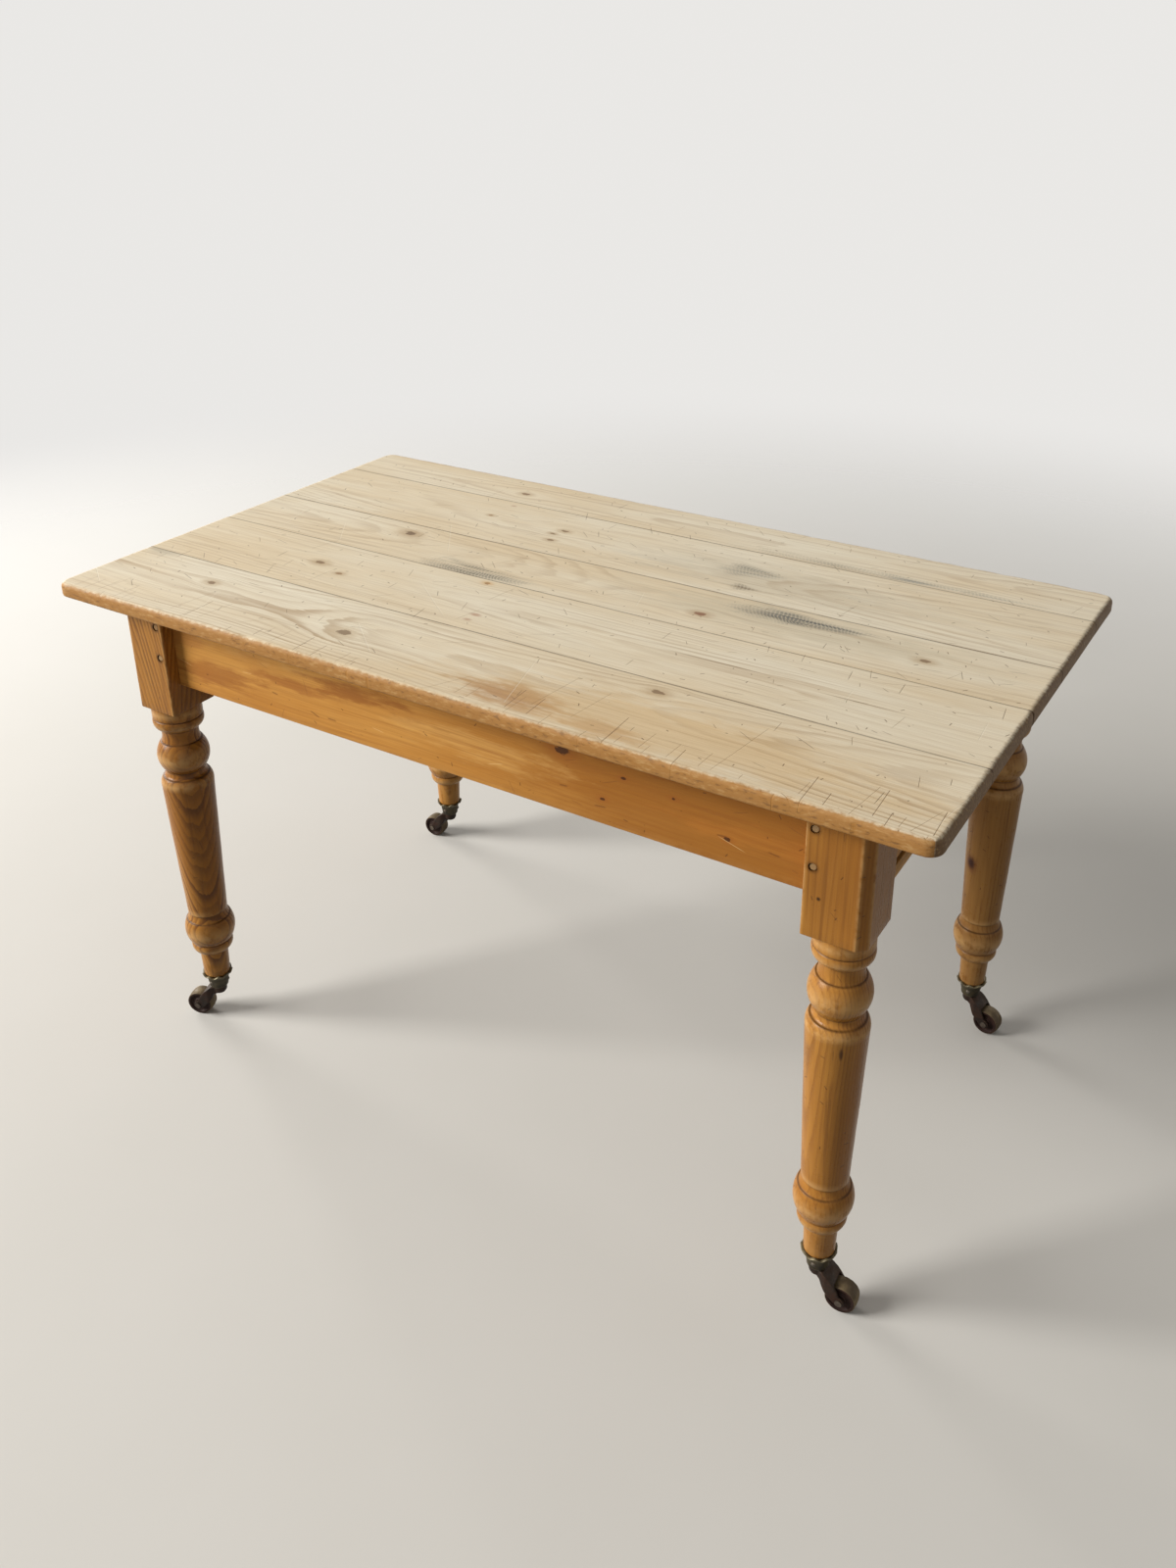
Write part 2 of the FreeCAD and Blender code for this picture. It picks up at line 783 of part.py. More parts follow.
def drawer_groove():
    reach = (drawer_end, drawer_shoulder + d.drawer_groove + d.joint_clearance)
    return box("drawer_groove", reach, grown(drawer_bottom_wide, d.joint_clearance),
               grown(drawer_bottom_levels, d.joint_clearance))


def drawer_front(groove):
    cuts = [groove]
    for side, span in drawer_sides.items():
        cuts.append(box(f"drawer_lap_{side}", (drawer_shoulder, drawer_lap_face), span, drawer_side_levels))
    cuts.append(rod("knob_hole", "+x", (drawer_shoulder, *knob_centre),
                    d.knob_shank_radius + d.pilot_clearance, d.drawer_front_thickness))
    blank = box("drawer_front_blank", (drawer_shoulder, drawer_face), drawer_wide, drawer_front_levels)
    node("drawer_front", cut("drawer_front", blank, cuts))


def drawer_side(side, groove):
    name = f"drawer_side_{side}"
    blank = box(f"{name}_blank", (drawer_end, drawer_lap_face), drawer_sides[side], drawer_side_levels)
    node(name, cut(name, blank, [groove]))


def drawer_back():
    reach = (drawer_end, drawer_end + d.drawer_side_thickness)
    level = (drawer_bottom_levels[1], drawer_side_levels[1] - d.drawer_back_drop)
    node("drawer_back", box("drawer_back", reach, drawer_inside, level))


def drawer_bottom():
    reach = (drawer_end, drawer_shoulder + d.drawer_groove)
    node("drawer_bottom", box("drawer_bottom", reach, drawer_bottom_wide, drawer_bottom_levels))


def drawer_knob():
    widest = d.knob_neck_length + d.knob_swell_length
    tip = widest + d.knob_cap_length
    knob = turned("drawer_knob", "XY_Plane", "H_Axis", [
        (-d.drawer_front_thickness, zero, None),
        (tip, zero, None),
        (tip, d.knob_face_radius, d.knob_bulge),
        (widest, d.knob_radius, d.knob_bulge),
        (d.knob_neck_length, d.knob_neck_radius, -d.knob_bulge / 2),
        (zero, d.knob_base_radius, None),
        (zero, d.knob_shank_radius, None),
        (-d.drawer_front_thickness, d.knob_shank_radius, None),
    ])
    place(knob, drawer_face, *knob_centre)
    node("drawer_knob", knob)


# Blocks rubbed into the corner between the aprons and the top.

def rubbed_blocks(screw_holes):
    level = (underside - d.block_side, underside)
    blocks = []
    for index, across in enumerate(spread((left_inner, cross_rail[0]), blocks_per_apron)):
        run = about(across, d.rubbed_block_length)
        for side, span in (("front", (front_apron[1], front_apron[1] + d.block_side)),
                           ("back", (back_apron[0] - d.block_side, back_apron[0]))):
            blocks.append(box(f"block_{side}_{index}", run, span, level))
    for index, along in enumerate(end_block_places()):
        blocks.append(box(f"block_left_{index}", (left_apron[1], left_apron[1] + d.block_side),
                          about(along, d.rubbed_block_length), level))
    node("rubbed_blocks", cut("rubbed_blocks", group("block_blanks", blocks), screw_holes))


# Castors. Every castor is drawn with its swivel pin upright at the origin and its wheel trailing along +X.

def cup_profile():
    hole = d.pin_radius + d.running_clearance
    rim_radius = cup_mouth_radius + d.cup_rim_wall
    return [
        (hole, cup_bottom, None),
        (cup_radius - d.cup_toe_inset, cup_bottom, d.cup_toe_bulge),
        (cup_radius, cup_barrel[0], None),
        (cup_shoulder_radius, cup_barrel[1], -d.cup_flare_hollow),
        (rim_radius, cup_rim - d.cup_lip, None),
        (rim_radius, cup_rim, None),
        (cup_mouth_radius, cup_rim, None),
        (socket_radius, cup_barrel[1], None),
        (socket_radius, cup_floor_top, None),
        (hole, cup_floor_top, None),
    ]


def cup_screws(corner):
    centre_x, centre_y, side_x, side_y = legs[corner]
    screws = []
    holes = []
    reach = middle((cup_radius, cup_shoulder_radius)) + d.cup_screw_head_height
    for index in range(screws_per_cup):
        bearing = d.cup_screw_bearing + 360 / screws_per_cup * index
        for kind, room, made in (("screw", zero, screws), ("pilot", d.pilot_clearance, holes)):
            name = f"cup_{kind}_{corner}_{index}"
            piece = turned(name, "XY_Plane", "H_Axis", screw_profile(room))
            turn(piece, bearing)
            place(piece, centre_x + reach * trig("cos", bearing), centre_y + reach * trig("sin", bearing),
                  middle(cup_barrel))
            made.append(piece)
    return screws, holes


def screw_profile(room):
    shank = d.cup_screw_radius + room
    head = -d.cup_screw_head_height
    tip = -(d.cup_screw_length + room)
    return [
        (zero, zero, None),
        (tip, zero, None),
        (tip, d.cup_screw_tip_radius, None),
        (tip + d.cup_screw_radius * 2, shank, None),
        (head * 2, shank, None),
        (head, d.cup_screw_head_radius + room, None),
        (zero, d.cup_screw_slot_radius + room, None),
    ]


def castor_cup(corner, holes):
    centre_x, centre_y, side_x, side_y = legs[corner]
    body = turned(f"cup_{corner}_blank", "XZ_Plane", "V_Axis", cup_profile())
    place(body, centre_x, centre_y, zero)
    node(f"castor_cup_{corner}", cut(f"castor_cup_{corner}", body, holes))


def swivel_pin(corner):
    bottom = swivel_height - d.pin_depth
    pin = turned(f"castor_pin_{corner}", "XZ_Plane", "V_Axis", [
        (zero, bottom, None), (d.pin_radius, bottom, None), (d.pin_radius, pin_head, None),
        (d.pin_head_radius, pin_head, None), (d.pin_head_radius, pin_head + d.pin_head_height, None),
        (zero, pin_head + d.pin_head_height, None),
    ])
    place(pin, legs[corner][0], legs[corner][1], zero)
    node(f"castor_pin_{corner}", pin)


horn_band_bottom = swivel_height - d.horn_boss_band
horn_toe = horn_band_bottom - d.horn_toe_length


def horn_boss_profile():
    return [
        (zero, horn_toe, None),
        (d.horn_toe_radius, horn_toe, d.horn_toe_bulge),
        (d.horn_boss_radius, horn_band_bottom, None),
        (d.horn_boss_radius, swivel_height, None),
        (zero, swivel_height, None),
    ]


def horn_arm_outline():
    axle = d.wheel_radius
    return [
        (zero, swivel_height, None),
        (zero, horn_toe, None),
        (d.horn_toe_radius, horn_toe, d.horn_belly),
        (trail, axle - d.cheek_eye, None),
        (trail, axle + d.cheek_eye, d.horn_bow),
        (d.horn_boss_radius, swivel_height, None),
    ]


def horn_plan_outline():
    toe = d.horn_toe_radius
    tip = trail + d.cheek_eye
    return [
        (zero, -toe, d.horn_spread_bulge), (d.horn_spread, -horn_half_width, None),
        (tip, -horn_half_width, None), (tip, horn_half_width, None),
        (d.horn_spread, horn_half_width, d.horn_spread_bulge), (zero, toe, None),
    ]


def horn_arms(name):
    side = doc.addObject("PartDesign::Body", f"{name}_side")
    side_sketch = sketch_on(side, "XZ_Plane", f"{name}_side_outline")
    draw(side_sketch, horn_arm_outline())
    add_pad(side, side_sketch, f"{name}_side_pad", horn_half_width * 2, symmetric=True)
    plan = doc.addObject("PartDesign::Body", f"{name}_plan")
    plan_sketch = sketch_on(plan, "XY_Plane", f"{name}_plan_outline")
    draw(plan_sketch, horn_plan_outline())
    add_pad(plan, plan_sketch, f"{name}_plan_pad", swivel_height)
    arms = doc.addObject("Part::Common", f"{name}_arms")
    arms.Base = side
    arms.Tool = plan
    return arms


def horn_blank(name):
    boss = turned(f"{name}_boss", "XZ_Plane", "V_Axis", horn_boss_profile())
    eye = rod(f"{name}_eye", "+y", (trail, -horn_half_width, d.wheel_radius), d.cheek_eye,
              horn_half_width * 2)
    return fuse(f"{name}_blank", [boss, horn_arms(name), eye])


def castor_horn(corner):
    name = f"castor_horn_{corner}"
    slot = d.wheel_width / 2 + d.wheel_side_gap
    room = d.running_clearance
    axle = (trail, -horn_half_width, d.wheel_radius)
    cuts = [
        rod(f"{name}_slot", "+y", (trail, -slot, d.wheel_radius), d.wheel_radius + d.wheel_room, slot * 2),
        rod(f"{name}_axle_hole", "+y", axle, d.axle_radius + room, horn_half_width * 2),
        rod(f"{name}_pin_hole", "+z", (zero, zero, swivel_height - d.pin_depth), d.pin_radius + room,
            d.pin_depth),
    ]
    horn = cut(name, horn_blank(name), cuts)
    turn(horn, angle_of(corner))
    place(horn, legs[corner][0], legs[corner][1], zero)
    node(name, horn)


def angle_of(corner):
    return Size(f"dims.angle_{corner}")


def on_axle(piece, corner):
    bearing = angle_of(corner)
    turn(piece, bearing)
    place(piece, legs[corner][0] + trail * trig("cos", bearing),
          legs[corner][1] + trail * trig("sin", bearing), d.wheel_radius)


def castor_axle(corner):
    reach = horn_half_width
    tip = horn_half_width + d.axle_head_height
    axle = turned(f"castor_axle_{corner}", "YZ_Plane", "H_Axis", [
        (-tip, zero, None), (tip, zero, None), (tip, d.axle_head_radius, None),
        (reach, d.axle_head_radius, None), (reach, d.axle_radius, None), (-reach, d.axle_radius, None),
        (-reach, d.axle_head_radius, None), (-tip, d.axle_head_radius, None),
    ])
    on_axle(axle, corner)
    node(f"castor_axle_{corner}", axle)


def wheel_profile():
    half = d.wheel_width / 2
    bore = d.axle_radius + d.running_clearance
    dish = half - d.wheel_dish
    rim = d.wheel_radius - d.wheel_rim
    tread = d.wheel_radius - d.wheel_crown
    ease = d.wheel_dish / 2
    right_side = [
        (half, bore, None), (half, d.wheel_hub_radius, None), (dish, d.wheel_hub_radius + ease, None),
        (dish, rim - ease, None), (half, rim, None), (half, tread - ease, ease / 3),
    ]
    left_side = [
        (-half, tread - ease, None), (-half, rim, None), (-dish, rim - ease, None),
        (-dish, d.wheel_hub_radius + ease, None), (-half, d.wheel_hub_radius, None), (-half, bore, None),
    ]
    return right_side + [(half - ease, tread, d.wheel_crown), (ease - half, tread, ease / 3)] + left_side


def castor_wheel(corner):
    wheel = turned(f"castor_wheel_{corner}", "YZ_Plane", "H_Axis", wheel_profile())
    on_axle(wheel, corner)
    node(f"castor_wheel_{corner}", wheel)


def build():
    long_holes = long_pegs()
    end_holes = end_pegs()
    screw_holes = top_screws()
    top_boards(top_dowels() + screw_holes)
    housing = cross_rail_piece()
    long_apron("apron_front", front_apron, long_holes + [housing])
    long_apron("apron_back", back_apron, long_holes + [housing])
    end_apron(end_holes)
    lower_drawer_rail()
    rail_socket = upper_drawer_rail(screw_holes)
    drawer_ways(screw_holes)
    drawer_stops()
    groove = drawer_groove()
    drawer_front(groove)
    for side in drawer_sides:
        drawer_side(side, groove)
    drawer_back()
    drawer_bottom()
    drawer_knob()
    rubbed_blocks(screw_holes)
    every_cup_screw = []
    for corner in legs:
        screws, pilots = cup_screws(corner)
        every_cup_screw += screws
        leg(corner, long_holes + end_holes, rail_socket, pilots)
        castor_cup(corner, pilots)
        swivel_pin(corner)
        castor_horn(corner)
        castor_axle(corner)
        castor_wheel(corner)
    node("castor_cup_screws", group("castor_cup_screws", every_cup_screw))
    doc.recompute()


def check_and_write():
    for item in doc.Objects:
        failed = {"Invalid", "Error"} & set(item.State)
        if failed:
            raise RuntimeError(f"{item.Name} is {', '.join(sorted(failed))}")
    for piece in nodes:
        if piece.Shape.isNull() or not piece.Shape.isValid():
            raise RuntimeError(f"{piece.Label} has no valid shape")
    os.makedirs("parts", exist_ok=True)
    for piece in nodes:
        piece.Shape.exportStep(f"parts/{piece.Label}.step")
        print(f"{piece.Label}: {len(piece.Shape.Solids)} solids, {piece.Shape.Volume / 1000:.1f} cm3")


build()
check_and_write()
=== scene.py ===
import math

import bmesh
import bpy
from mathutils import Matrix, Vector, noise


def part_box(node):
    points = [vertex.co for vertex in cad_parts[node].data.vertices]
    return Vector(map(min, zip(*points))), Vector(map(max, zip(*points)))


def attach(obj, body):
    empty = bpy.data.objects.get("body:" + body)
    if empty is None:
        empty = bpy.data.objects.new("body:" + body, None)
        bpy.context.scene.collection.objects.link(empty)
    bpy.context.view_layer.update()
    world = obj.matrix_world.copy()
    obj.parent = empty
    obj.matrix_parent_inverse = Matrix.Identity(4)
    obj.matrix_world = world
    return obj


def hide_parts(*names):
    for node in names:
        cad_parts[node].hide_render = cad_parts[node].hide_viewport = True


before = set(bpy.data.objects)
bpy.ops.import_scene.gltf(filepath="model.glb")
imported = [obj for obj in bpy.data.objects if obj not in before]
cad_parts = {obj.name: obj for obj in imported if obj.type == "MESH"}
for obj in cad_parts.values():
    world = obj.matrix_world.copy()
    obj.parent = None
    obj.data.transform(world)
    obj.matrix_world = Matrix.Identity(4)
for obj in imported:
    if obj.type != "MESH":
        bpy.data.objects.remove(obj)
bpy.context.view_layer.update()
print("frame loaded:", len(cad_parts), "nodes")


def boxOf(node):
    return [Vector(corner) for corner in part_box(node)]


def legSpot(corner):  # a leg's middle, and the way that its outer corner faces
    low, high = boxOf("leg_" + corner)
    middle = (low + high) / 2
    sideX = -1 if "left" in corner else 1
    sideY = -1 if "front" in corner else 1
    return round(middle.x, 4), round(middle.y, 4), sideX, sideY


corners = ("front_left", "front_right", "back_left", "back_right")
legSpots = {corner: legSpot(corner) for corner in corners}
topLevel = round(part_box("top_board_front")[1][2], 4)
topHalfDepth = round(-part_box("top_board_front")[0][1], 4)
apronFace = round(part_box("apron_front")[0][1], 4)
origin = (0.0, 0.0, 0.0)
millimetre = 0.001
tiny = 1e-6  # points closer than this are one


# Shader helpers

def tone(red, green, blue):  # screen colour to scene colour
    def linear(value):
        value = value / 255
        return value / 12.92 if value < 0.04 else ((value + 0.055) / 1.055) ** 2.4
    return (linear(red), linear(green), linear(blue), 1.0)


def wire(tree, sockets, values):  # links what is a socket, and sets what is a number
    for key, value in values.items():
        if isinstance(value, bpy.types.NodeSocket):
            tree.links.new(value, sockets[key])
        else:
            sockets[key].default_value = value


def put(tree, kind, inputs=None, **settings):
    made = tree.nodes.new("ShaderNode" + kind)
    for key, value in settings.items():
        setattr(made, key, value)
    wire(tree, made.inputs, inputs or {})
    return made


def calc(tree, operation, *values, clamp=False):
    return put(tree, "Math", dict(enumerate(values)), operation=operation, use_clamp=clamp).outputs[0]


def times(tree, first, *others):
    for other in others:
        first = calc(tree, "MULTIPLY", first, other)
    return first


def vector(tree, operation, *values):
    made = put(tree, "VectorMath", dict(enumerate(values)), operation=operation)
    return made.outputs["Value" if operation == "LENGTH" else "Vector"]


def scaled(tree, point, amount):
    return put(tree, "VectorMath", {0: point, "Scale": amount}, operation="SCALE").outputs["Vector"]


def axes(tree, point):
    return put(tree, "SeparateXYZ", {0: point}).outputs


def chances(tree, cells):  # three random numbers for each cell
    return put(tree, "SeparateColor", {0: cells.outputs["Color"]}).outputs


def tint(tree, amount, below, above):
    return put(tree, "Mix", {0: amount, 6: below, 7: above}, data_type="RGBA").outputs[2]


def lay(tree, colour, shade, mask, amount):
    return tint(tree, times(tree, mask, amount), colour, shade)


def stretch(tree, value, low, high, bottom=0.0, top=1.0):
    inputs = {"Value": value, "From Min": low, "From Max": high, "To Min": bottom, "To Max": top}
    return put(tree, "MapRange", inputs, interpolation_type="SMOOTHSTEP").outputs[0]


def grainNoise(tree, point, pull, detail=3.0, rough=0.55, give="Fac"):
    pulled = vector(tree, "MULTIPLY", point, pull)
    inputs = {"Vector": pulled, "Scale": 1.0, "Detail": detail, "Roughness": rough}
    return put(tree, "TexNoise", inputs).outputs[give]


def bumped(tree, height, strength, distance):
    return put(tree, "Bump", {"Strength": strength, "Distance": distance, "Height": height}).outputs[0]


def newGroup(name, inputs, outputs):
    def socket(label, side, isVector):
        kind = "NodeSocketVector" if isVector else "NodeSocketFloat"
        return tree.interface.new_socket(label, in_out=side, socket_type=kind)

    tree = bpy.data.node_groups.new(name, "ShaderNodeTree")
    for label, value in inputs.items():
        socket(label, "INPUT", isinstance(value, tuple)).default_value = value
    for label in outputs:
        socket(label, "OUTPUT", label == "Point")
    given = tree.nodes.new("NodeGroupInput").outputs
    result = tree.nodes.new("NodeGroupOutput").inputs
    return tree, given, result


def placeGroup(tree, name, inputs):
    return put(tree, "Group", inputs, node_tree=bpy.data.node_groups[name]).outputs


# Growth rings of a log, cut by whatever surface the point lies on; X runs with the grain
def makePineFigure():
    tree, given, result = newGroup("pineFigure", {
        "Point": origin, "Pith": origin, "Lean": origin, "Seed": origin, "Ring Gap": 0.004, "Sway": 0.01,
        "Soft": 0.2, "Patchy": 0.5}, ("Late", "Fibre", "Cloud", "Streak"))
    point = vector(tree, "ADD", given["Point"], given["Seed"])
    along = axes(tree, given["Point"])["X"]
    sway = grainNoise(tree, point, (1.3, 5.0, 5.0), 2.0, give="Color")
    sway = scaled(tree, vector(tree, "SUBTRACT", sway, (0.5, 0.5, 0.5)), given["Sway"])
    fromPith = vector(tree, "SUBTRACT", given["Point"], given["Pith"])
    fromPith = vector(tree, "SUBTRACT", fromPith, scaled(tree, given["Lean"], along))
    fromPith = vector(tree, "MULTIPLY", vector(tree, "ADD", fromPith, sway), (0.0, 1.0, 1.0))
    wobble = grainNoise(tree, point, (9.0, 90.0, 90.0), 2.0)
    count = calc(tree, "DIVIDE", vector(tree, "LENGTH", fromPith), given["Ring Gap"])
    count = calc(tree, "ADD", count, times(tree, wobble, 0.8))
    ring = calc(tree, "FRACT", count)
    late = times(tree, stretch(tree, ring, given["Soft"], 0.86), stretch(tree, ring, 1.0, 0.9))
    year = put(tree, "TexWhiteNoise", {"W": calc(tree, "FLOOR", count)}, noise_dimensions="1D")
    year = stretch(tree, year.outputs["Value"], 0.0, 1.0, 0.35, 1.0)
    patch = grainNoise(tree, point, (2.3, 13.0, 13.0), 2.0)
    patch = stretch(tree, patch, 0.38, 0.62, calc(tree, "SUBTRACT", 1.0, given["Patchy"]), 1.0)
    fibre = grainNoise(tree, point, (11.0, 520.0, 520.0), 3.0, 0.65)
    streak = grainNoise(tree, vector(tree, "ADD", point, (3.0, 7.0, 1.0)), (4.0, 170.0, 170.0))
    cloud = grainNoise(tree, point, (1.7, 8.0, 8.0), 4.0, 0.6)
    wire(tree, result, {"Late": times(tree, late, year, patch), "Fibre": stretch(tree, fibre, 0.3, 0.72),
                        "Cloud": stretch(tree, cloud, 0.3, 0.7), "Streak": stretch(tree, streak, 0.55, 0.7)})


# A knot pushes the grain round itself; its core and the halo about it come out as masks
def makeKnotFlow():
    tree, given, result = newGroup("knotFlow", {
        "Point": origin, "Spot": origin, "Size": 0.01, "Pull": 0.7}, ("Point", "Core", "Halo"))
    away = vector(tree, "SUBTRACT", given["Point"], given["Spot"])
    flat = vector(tree, "MULTIPLY", away, (0.6, 1.0, 0.0))
    ragged = grainNoise(tree, given["Point"], (120.0, 190.0, 120.0), 3.0, 0.6)
    reach = calc(tree, "DIVIDE", vector(tree, "LENGTH", flat), given["Size"])
    reach = calc(tree, "ADD", reach, times(tree, calc(tree, "SUBTRACT", ragged, 0.5), 0.9))
    weaker = calc(tree, "EXPONENT", times(tree, calc(tree, "POWER", reach, 2.0), -0.16))
    push = scaled(tree, vector(tree, "MULTIPLY", away, (0.0, 1.0, 0.0)), times(tree, weaker, given["Pull"]))
    wire(tree, result, {"Point": vector(tree, "SUBTRACT", given["Point"], push),
                        "Core": stretch(tree, reach, 0.62, 0.42), "Halo": stretch(tree, reach, 1.9, 0.45)})


# A soft ragged blot, long or round
def makeBlot():
    tree, given, result = newGroup("blot", {
        "Point": origin, "Spot": origin, "Spread": (0.1, 0.1, 0.1), "Ragged": 0.8}, ["Mask"])
    away = vector(tree, "DIVIDE", vector(tree, "SUBTRACT", given["Point"], given["Spot"]), given["Spread"])
    rough = grainNoise(tree, given["Point"], (16.0, 70.0, 70.0), 4.0, 0.65)
    rough = times(tree, calc(tree, "SUBTRACT", rough, 0.5), given["Ragged"])
    reach = calc(tree, "ADD", vector(tree, "LENGTH", away), rough)
    wire(tree, result, {"Mask": stretch(tree, reach, 1.0, 0.25)})


# Fine straight cuts across X at random places, within a band of Y
def makeKnifeCuts():
    tree, given, result = newGroup("knifeCuts", {
        "Point": origin, "Pitch": 0.03, "Start": 0.0, "Reach": 0.06, "Slant": 0.05,
        "Width": 0.0008}, ["Mask"])
    parts = axes(tree, given["Point"])
    across = calc(tree, "ADD", parts["X"], times(tree, parts["Y"], given["Slant"]))
    cells = put(tree, "TexVoronoi", {"W": calc(tree, "DIVIDE", across, given["Pitch"]), "Scale": 1.0},
                voronoi_dimensions="1D", feature="F1")
    away = times(tree, cells.outputs["Distance"], given["Pitch"])
    line = stretch(tree, away, given["Width"], times(tree, given["Width"], 0.25))
    chance = chances(tree, cells)
    inset = calc(tree, "DIVIDE", calc(tree, "SUBTRACT", parts["Y"], given["Start"]), given["Reach"])
    inside = calc(tree, "LESS_THAN", inset, chance["Red"])
    begun = calc(tree, "GREATER_THAN", inset, times(tree, chance["Blue"], 0.25))
    kept = calc(tree, "GREATER_THAN", chance["Green"], 0.45)
    wire(tree, result, {"Mask": times(tree, line, inside, kept, begun)})


# Short scratches and dents, one to a cell, each with its own turn and length
def makeScratches():
    tree, given, result = newGroup("scratches", {
        "Point": origin, "Pitch": 0.05, "Length": 0.016, "Width": 0.0005, "Chance": 0.5, "Turn": 0.0,
        "Fan": 3.0}, ["Mask"])
    shift = scaled(tree, (37.0, 53.0, 0.0), given["Pitch"])
    point = vector(tree, "ADD", given["Point"], shift)
    point = scaled(tree, point, calc(tree, "DIVIDE", 1.0, given["Pitch"]))
    cells = put(tree, "TexVoronoi", {"Vector": point, "Scale": 1.0}, voronoi_dimensions="2D", feature="F1")
    away = scaled(tree, vector(tree, "SUBTRACT", point, cells.outputs["Position"]), given["Pitch"])
    chance = chances(tree, cells)
    angle = times(tree, calc(tree, "SUBTRACT", chance["Red"], 0.5), given["Fan"])
    angle = calc(tree, "ADD", angle, given["Turn"])
    turned = put(tree, "VectorRotate", {"Vector": away, "Angle": angle}, rotation_type="Z_AXIS")
    parts = axes(tree, turned.outputs[0])
    side = calc(tree, "ABSOLUTE", parts["Y"])
    line = stretch(tree, side, given["Width"], times(tree, given["Width"], 0.2))
    reach = times(tree, given["Length"], calc(tree, "ADD", chance["Blue"], 0.25))
    ends = stretch(tree, calc(tree, "ABSOLUTE", parts["X"]), reach, times(tree, reach, 0.5))
    kept = calc(tree, "LESS_THAN", chance["Green"], given["Chance"])
    wire(tree, result, {"Mask": times(tree, line, ends, kept)})


# Pits, rust bloom and rubbed high spots of old metal
def makeOldMetal():
    tree, given, result = newGroup("oldMetal", {"Point": origin, "Grain": 1.0}, ("Bloom", "Pits", "Rub"))
    point = scaled(tree, given["Point"], given["Grain"])
    bloom = grainNoise(tree, point, (70.0, 70.0, 70.0), 5.0, 0.62)
    pits = put(tree, "TexVoronoi", {"Vector": point, "Scale": 520.0}, feature="F1").outputs["Distance"]
    worn = grainNoise(tree, point, (260.0, 260.0, 260.0))
    rubAndSheenTone = grainNoise(tree, point, (33.0, 33.0, 33.0), 4.0)
    pitted = times(tree, stretch(tree, pits, 0.35, 0.05), stretch(tree, worn, 0.45, 0.62))
    wire(tree, result, {"Bloom": stretch(tree, bloom, 0.36, 0.66), "Pits": pitted,
                        "Rub": stretch(tree, rubAndSheenTone, 0.42, 0.68)})


for makeGroup in (makePineFigure, makeKnotFlow, makeBlot, makeKnifeCuts, makeScratches, makeOldMetal):
    makeGroup()
print("shared shader groups made")


def startMaterial(name):
    material = bpy.data.materials.new(name)
    material.use_nodes = True
    tree = material.node_tree
    tree.nodes.clear()
    shader = put(tree, "BsdfPrincipled")
    put(tree, "OutputMaterial", {"Surface": shader.outputs[0]})
    place = put(tree, "TexCoord").outputs["Object"]
    return material, tree, shader, place


def mark(tree, label):  # a number kept on the mesh's points
    return put(tree, "Attribute", attribute_name=label).outputs["Fac"]


# Pine

grainTurns = {"x": "XYZ", "xUp": "XZY", "y": "YXZ", "yUp": "YZX", "z": "ZXY"}
barePine = {
    "lean": origin, "seed": origin, "knots": (), "washes": (), "blots": (), "feathers": (), "cuts": (),
    "scratches": (), "edges": (), "knotAmount": 0.85, "haloAmount": 0.5,
}
featherLook = {"taper": 0.75, "bow": -14.0, "slant": 0.35, "lines": 1150.0, "wander": 18.0}
cutKinds = {  # group, the values that a row gives it, and how deep it cuts the bump
    "cuts": ("knifeCuts", ("Pitch", "Start", "Reach", "Slant", "Width"), 1.5),
    "scratches": ("scratches", ("Pitch", "Length", "Width", "Chance", "Turn", "Fan"), 1.2),
}


def grainPoint(tree, place, turn):
    parts = axes(tree, place)
    turned = {index: parts[axis] for index, axis in enumerate(grainTurns[turn])}
    return put(tree, "CombineXYZ", turned).outputs[0]


def layBlots(tree, colour, point, blots):
    for spot, spread, ragged, shade, amount in blots:
        blot = placeGroup(tree, "blot", {"Point": point, "Spot": spot, "Spread": spread, "Ragged": ragged})
        colour = lay(tree, colour, shade, blot["Mask"], amount)
    return colour


def featherMask(tree, flow, spot, spread):  # a leaf-shaped stain, combed by curved lines
    away = axes(tree, vector(tree, "SUBTRACT", flow, spot))
    taper = calc(tree, "MULTIPLY_ADD", away["X"], featherLook["taper"] / spread[0], 1.2)
    leaf = put(tree, "CombineXYZ", {0: away["X"], 1: times(tree, away["Y"], taper)}).outputs[0]
    blot = placeGroup(tree, "blot", {"Point": leaf, "Spread": spread, "Ragged": 1.1})
    bend = calc(tree, "MULTIPLY_ADD", calc(tree, "POWER", away["Y"], 2.0), featherLook["bow"], away["X"])
    bend = calc(tree, "MULTIPLY_ADD", away["Y"], featherLook["slant"], bend)
    wander = grainNoise(tree, flow, (24.0, 110.0, 60.0), 4.0)
    comb = calc(tree, "MULTIPLY_ADD", wander, featherLook["wander"], times(tree, bend, featherLook["lines"]))
    comb = stretch(tree, calc(tree, "SINE", comb), 0.0, 1.0, 1.0, 0.5)
    fine = stretch(tree, grainNoise(tree, flow, (12.0, 240.0, 60.0)), 0.35, 0.62, 0.35, 1.0)
    return times(tree, blot["Mask"], comb, fine)


def frayedEdge(tree, place, label):
    fray = grainNoise(tree, place, (150.0, 190.0, 190.0), 4.0, 0.65)
    edge = calc(tree, "MULTIPLY_ADD", calc(tree, "SUBTRACT", fray, 0.5), 0.8, mark(tree, label))
    marked = calc(tree, "GREATER_THAN", mark(tree, label), 0.01)
    return times(tree, stretch(tree, edge, 0.15, 0.7), marked)
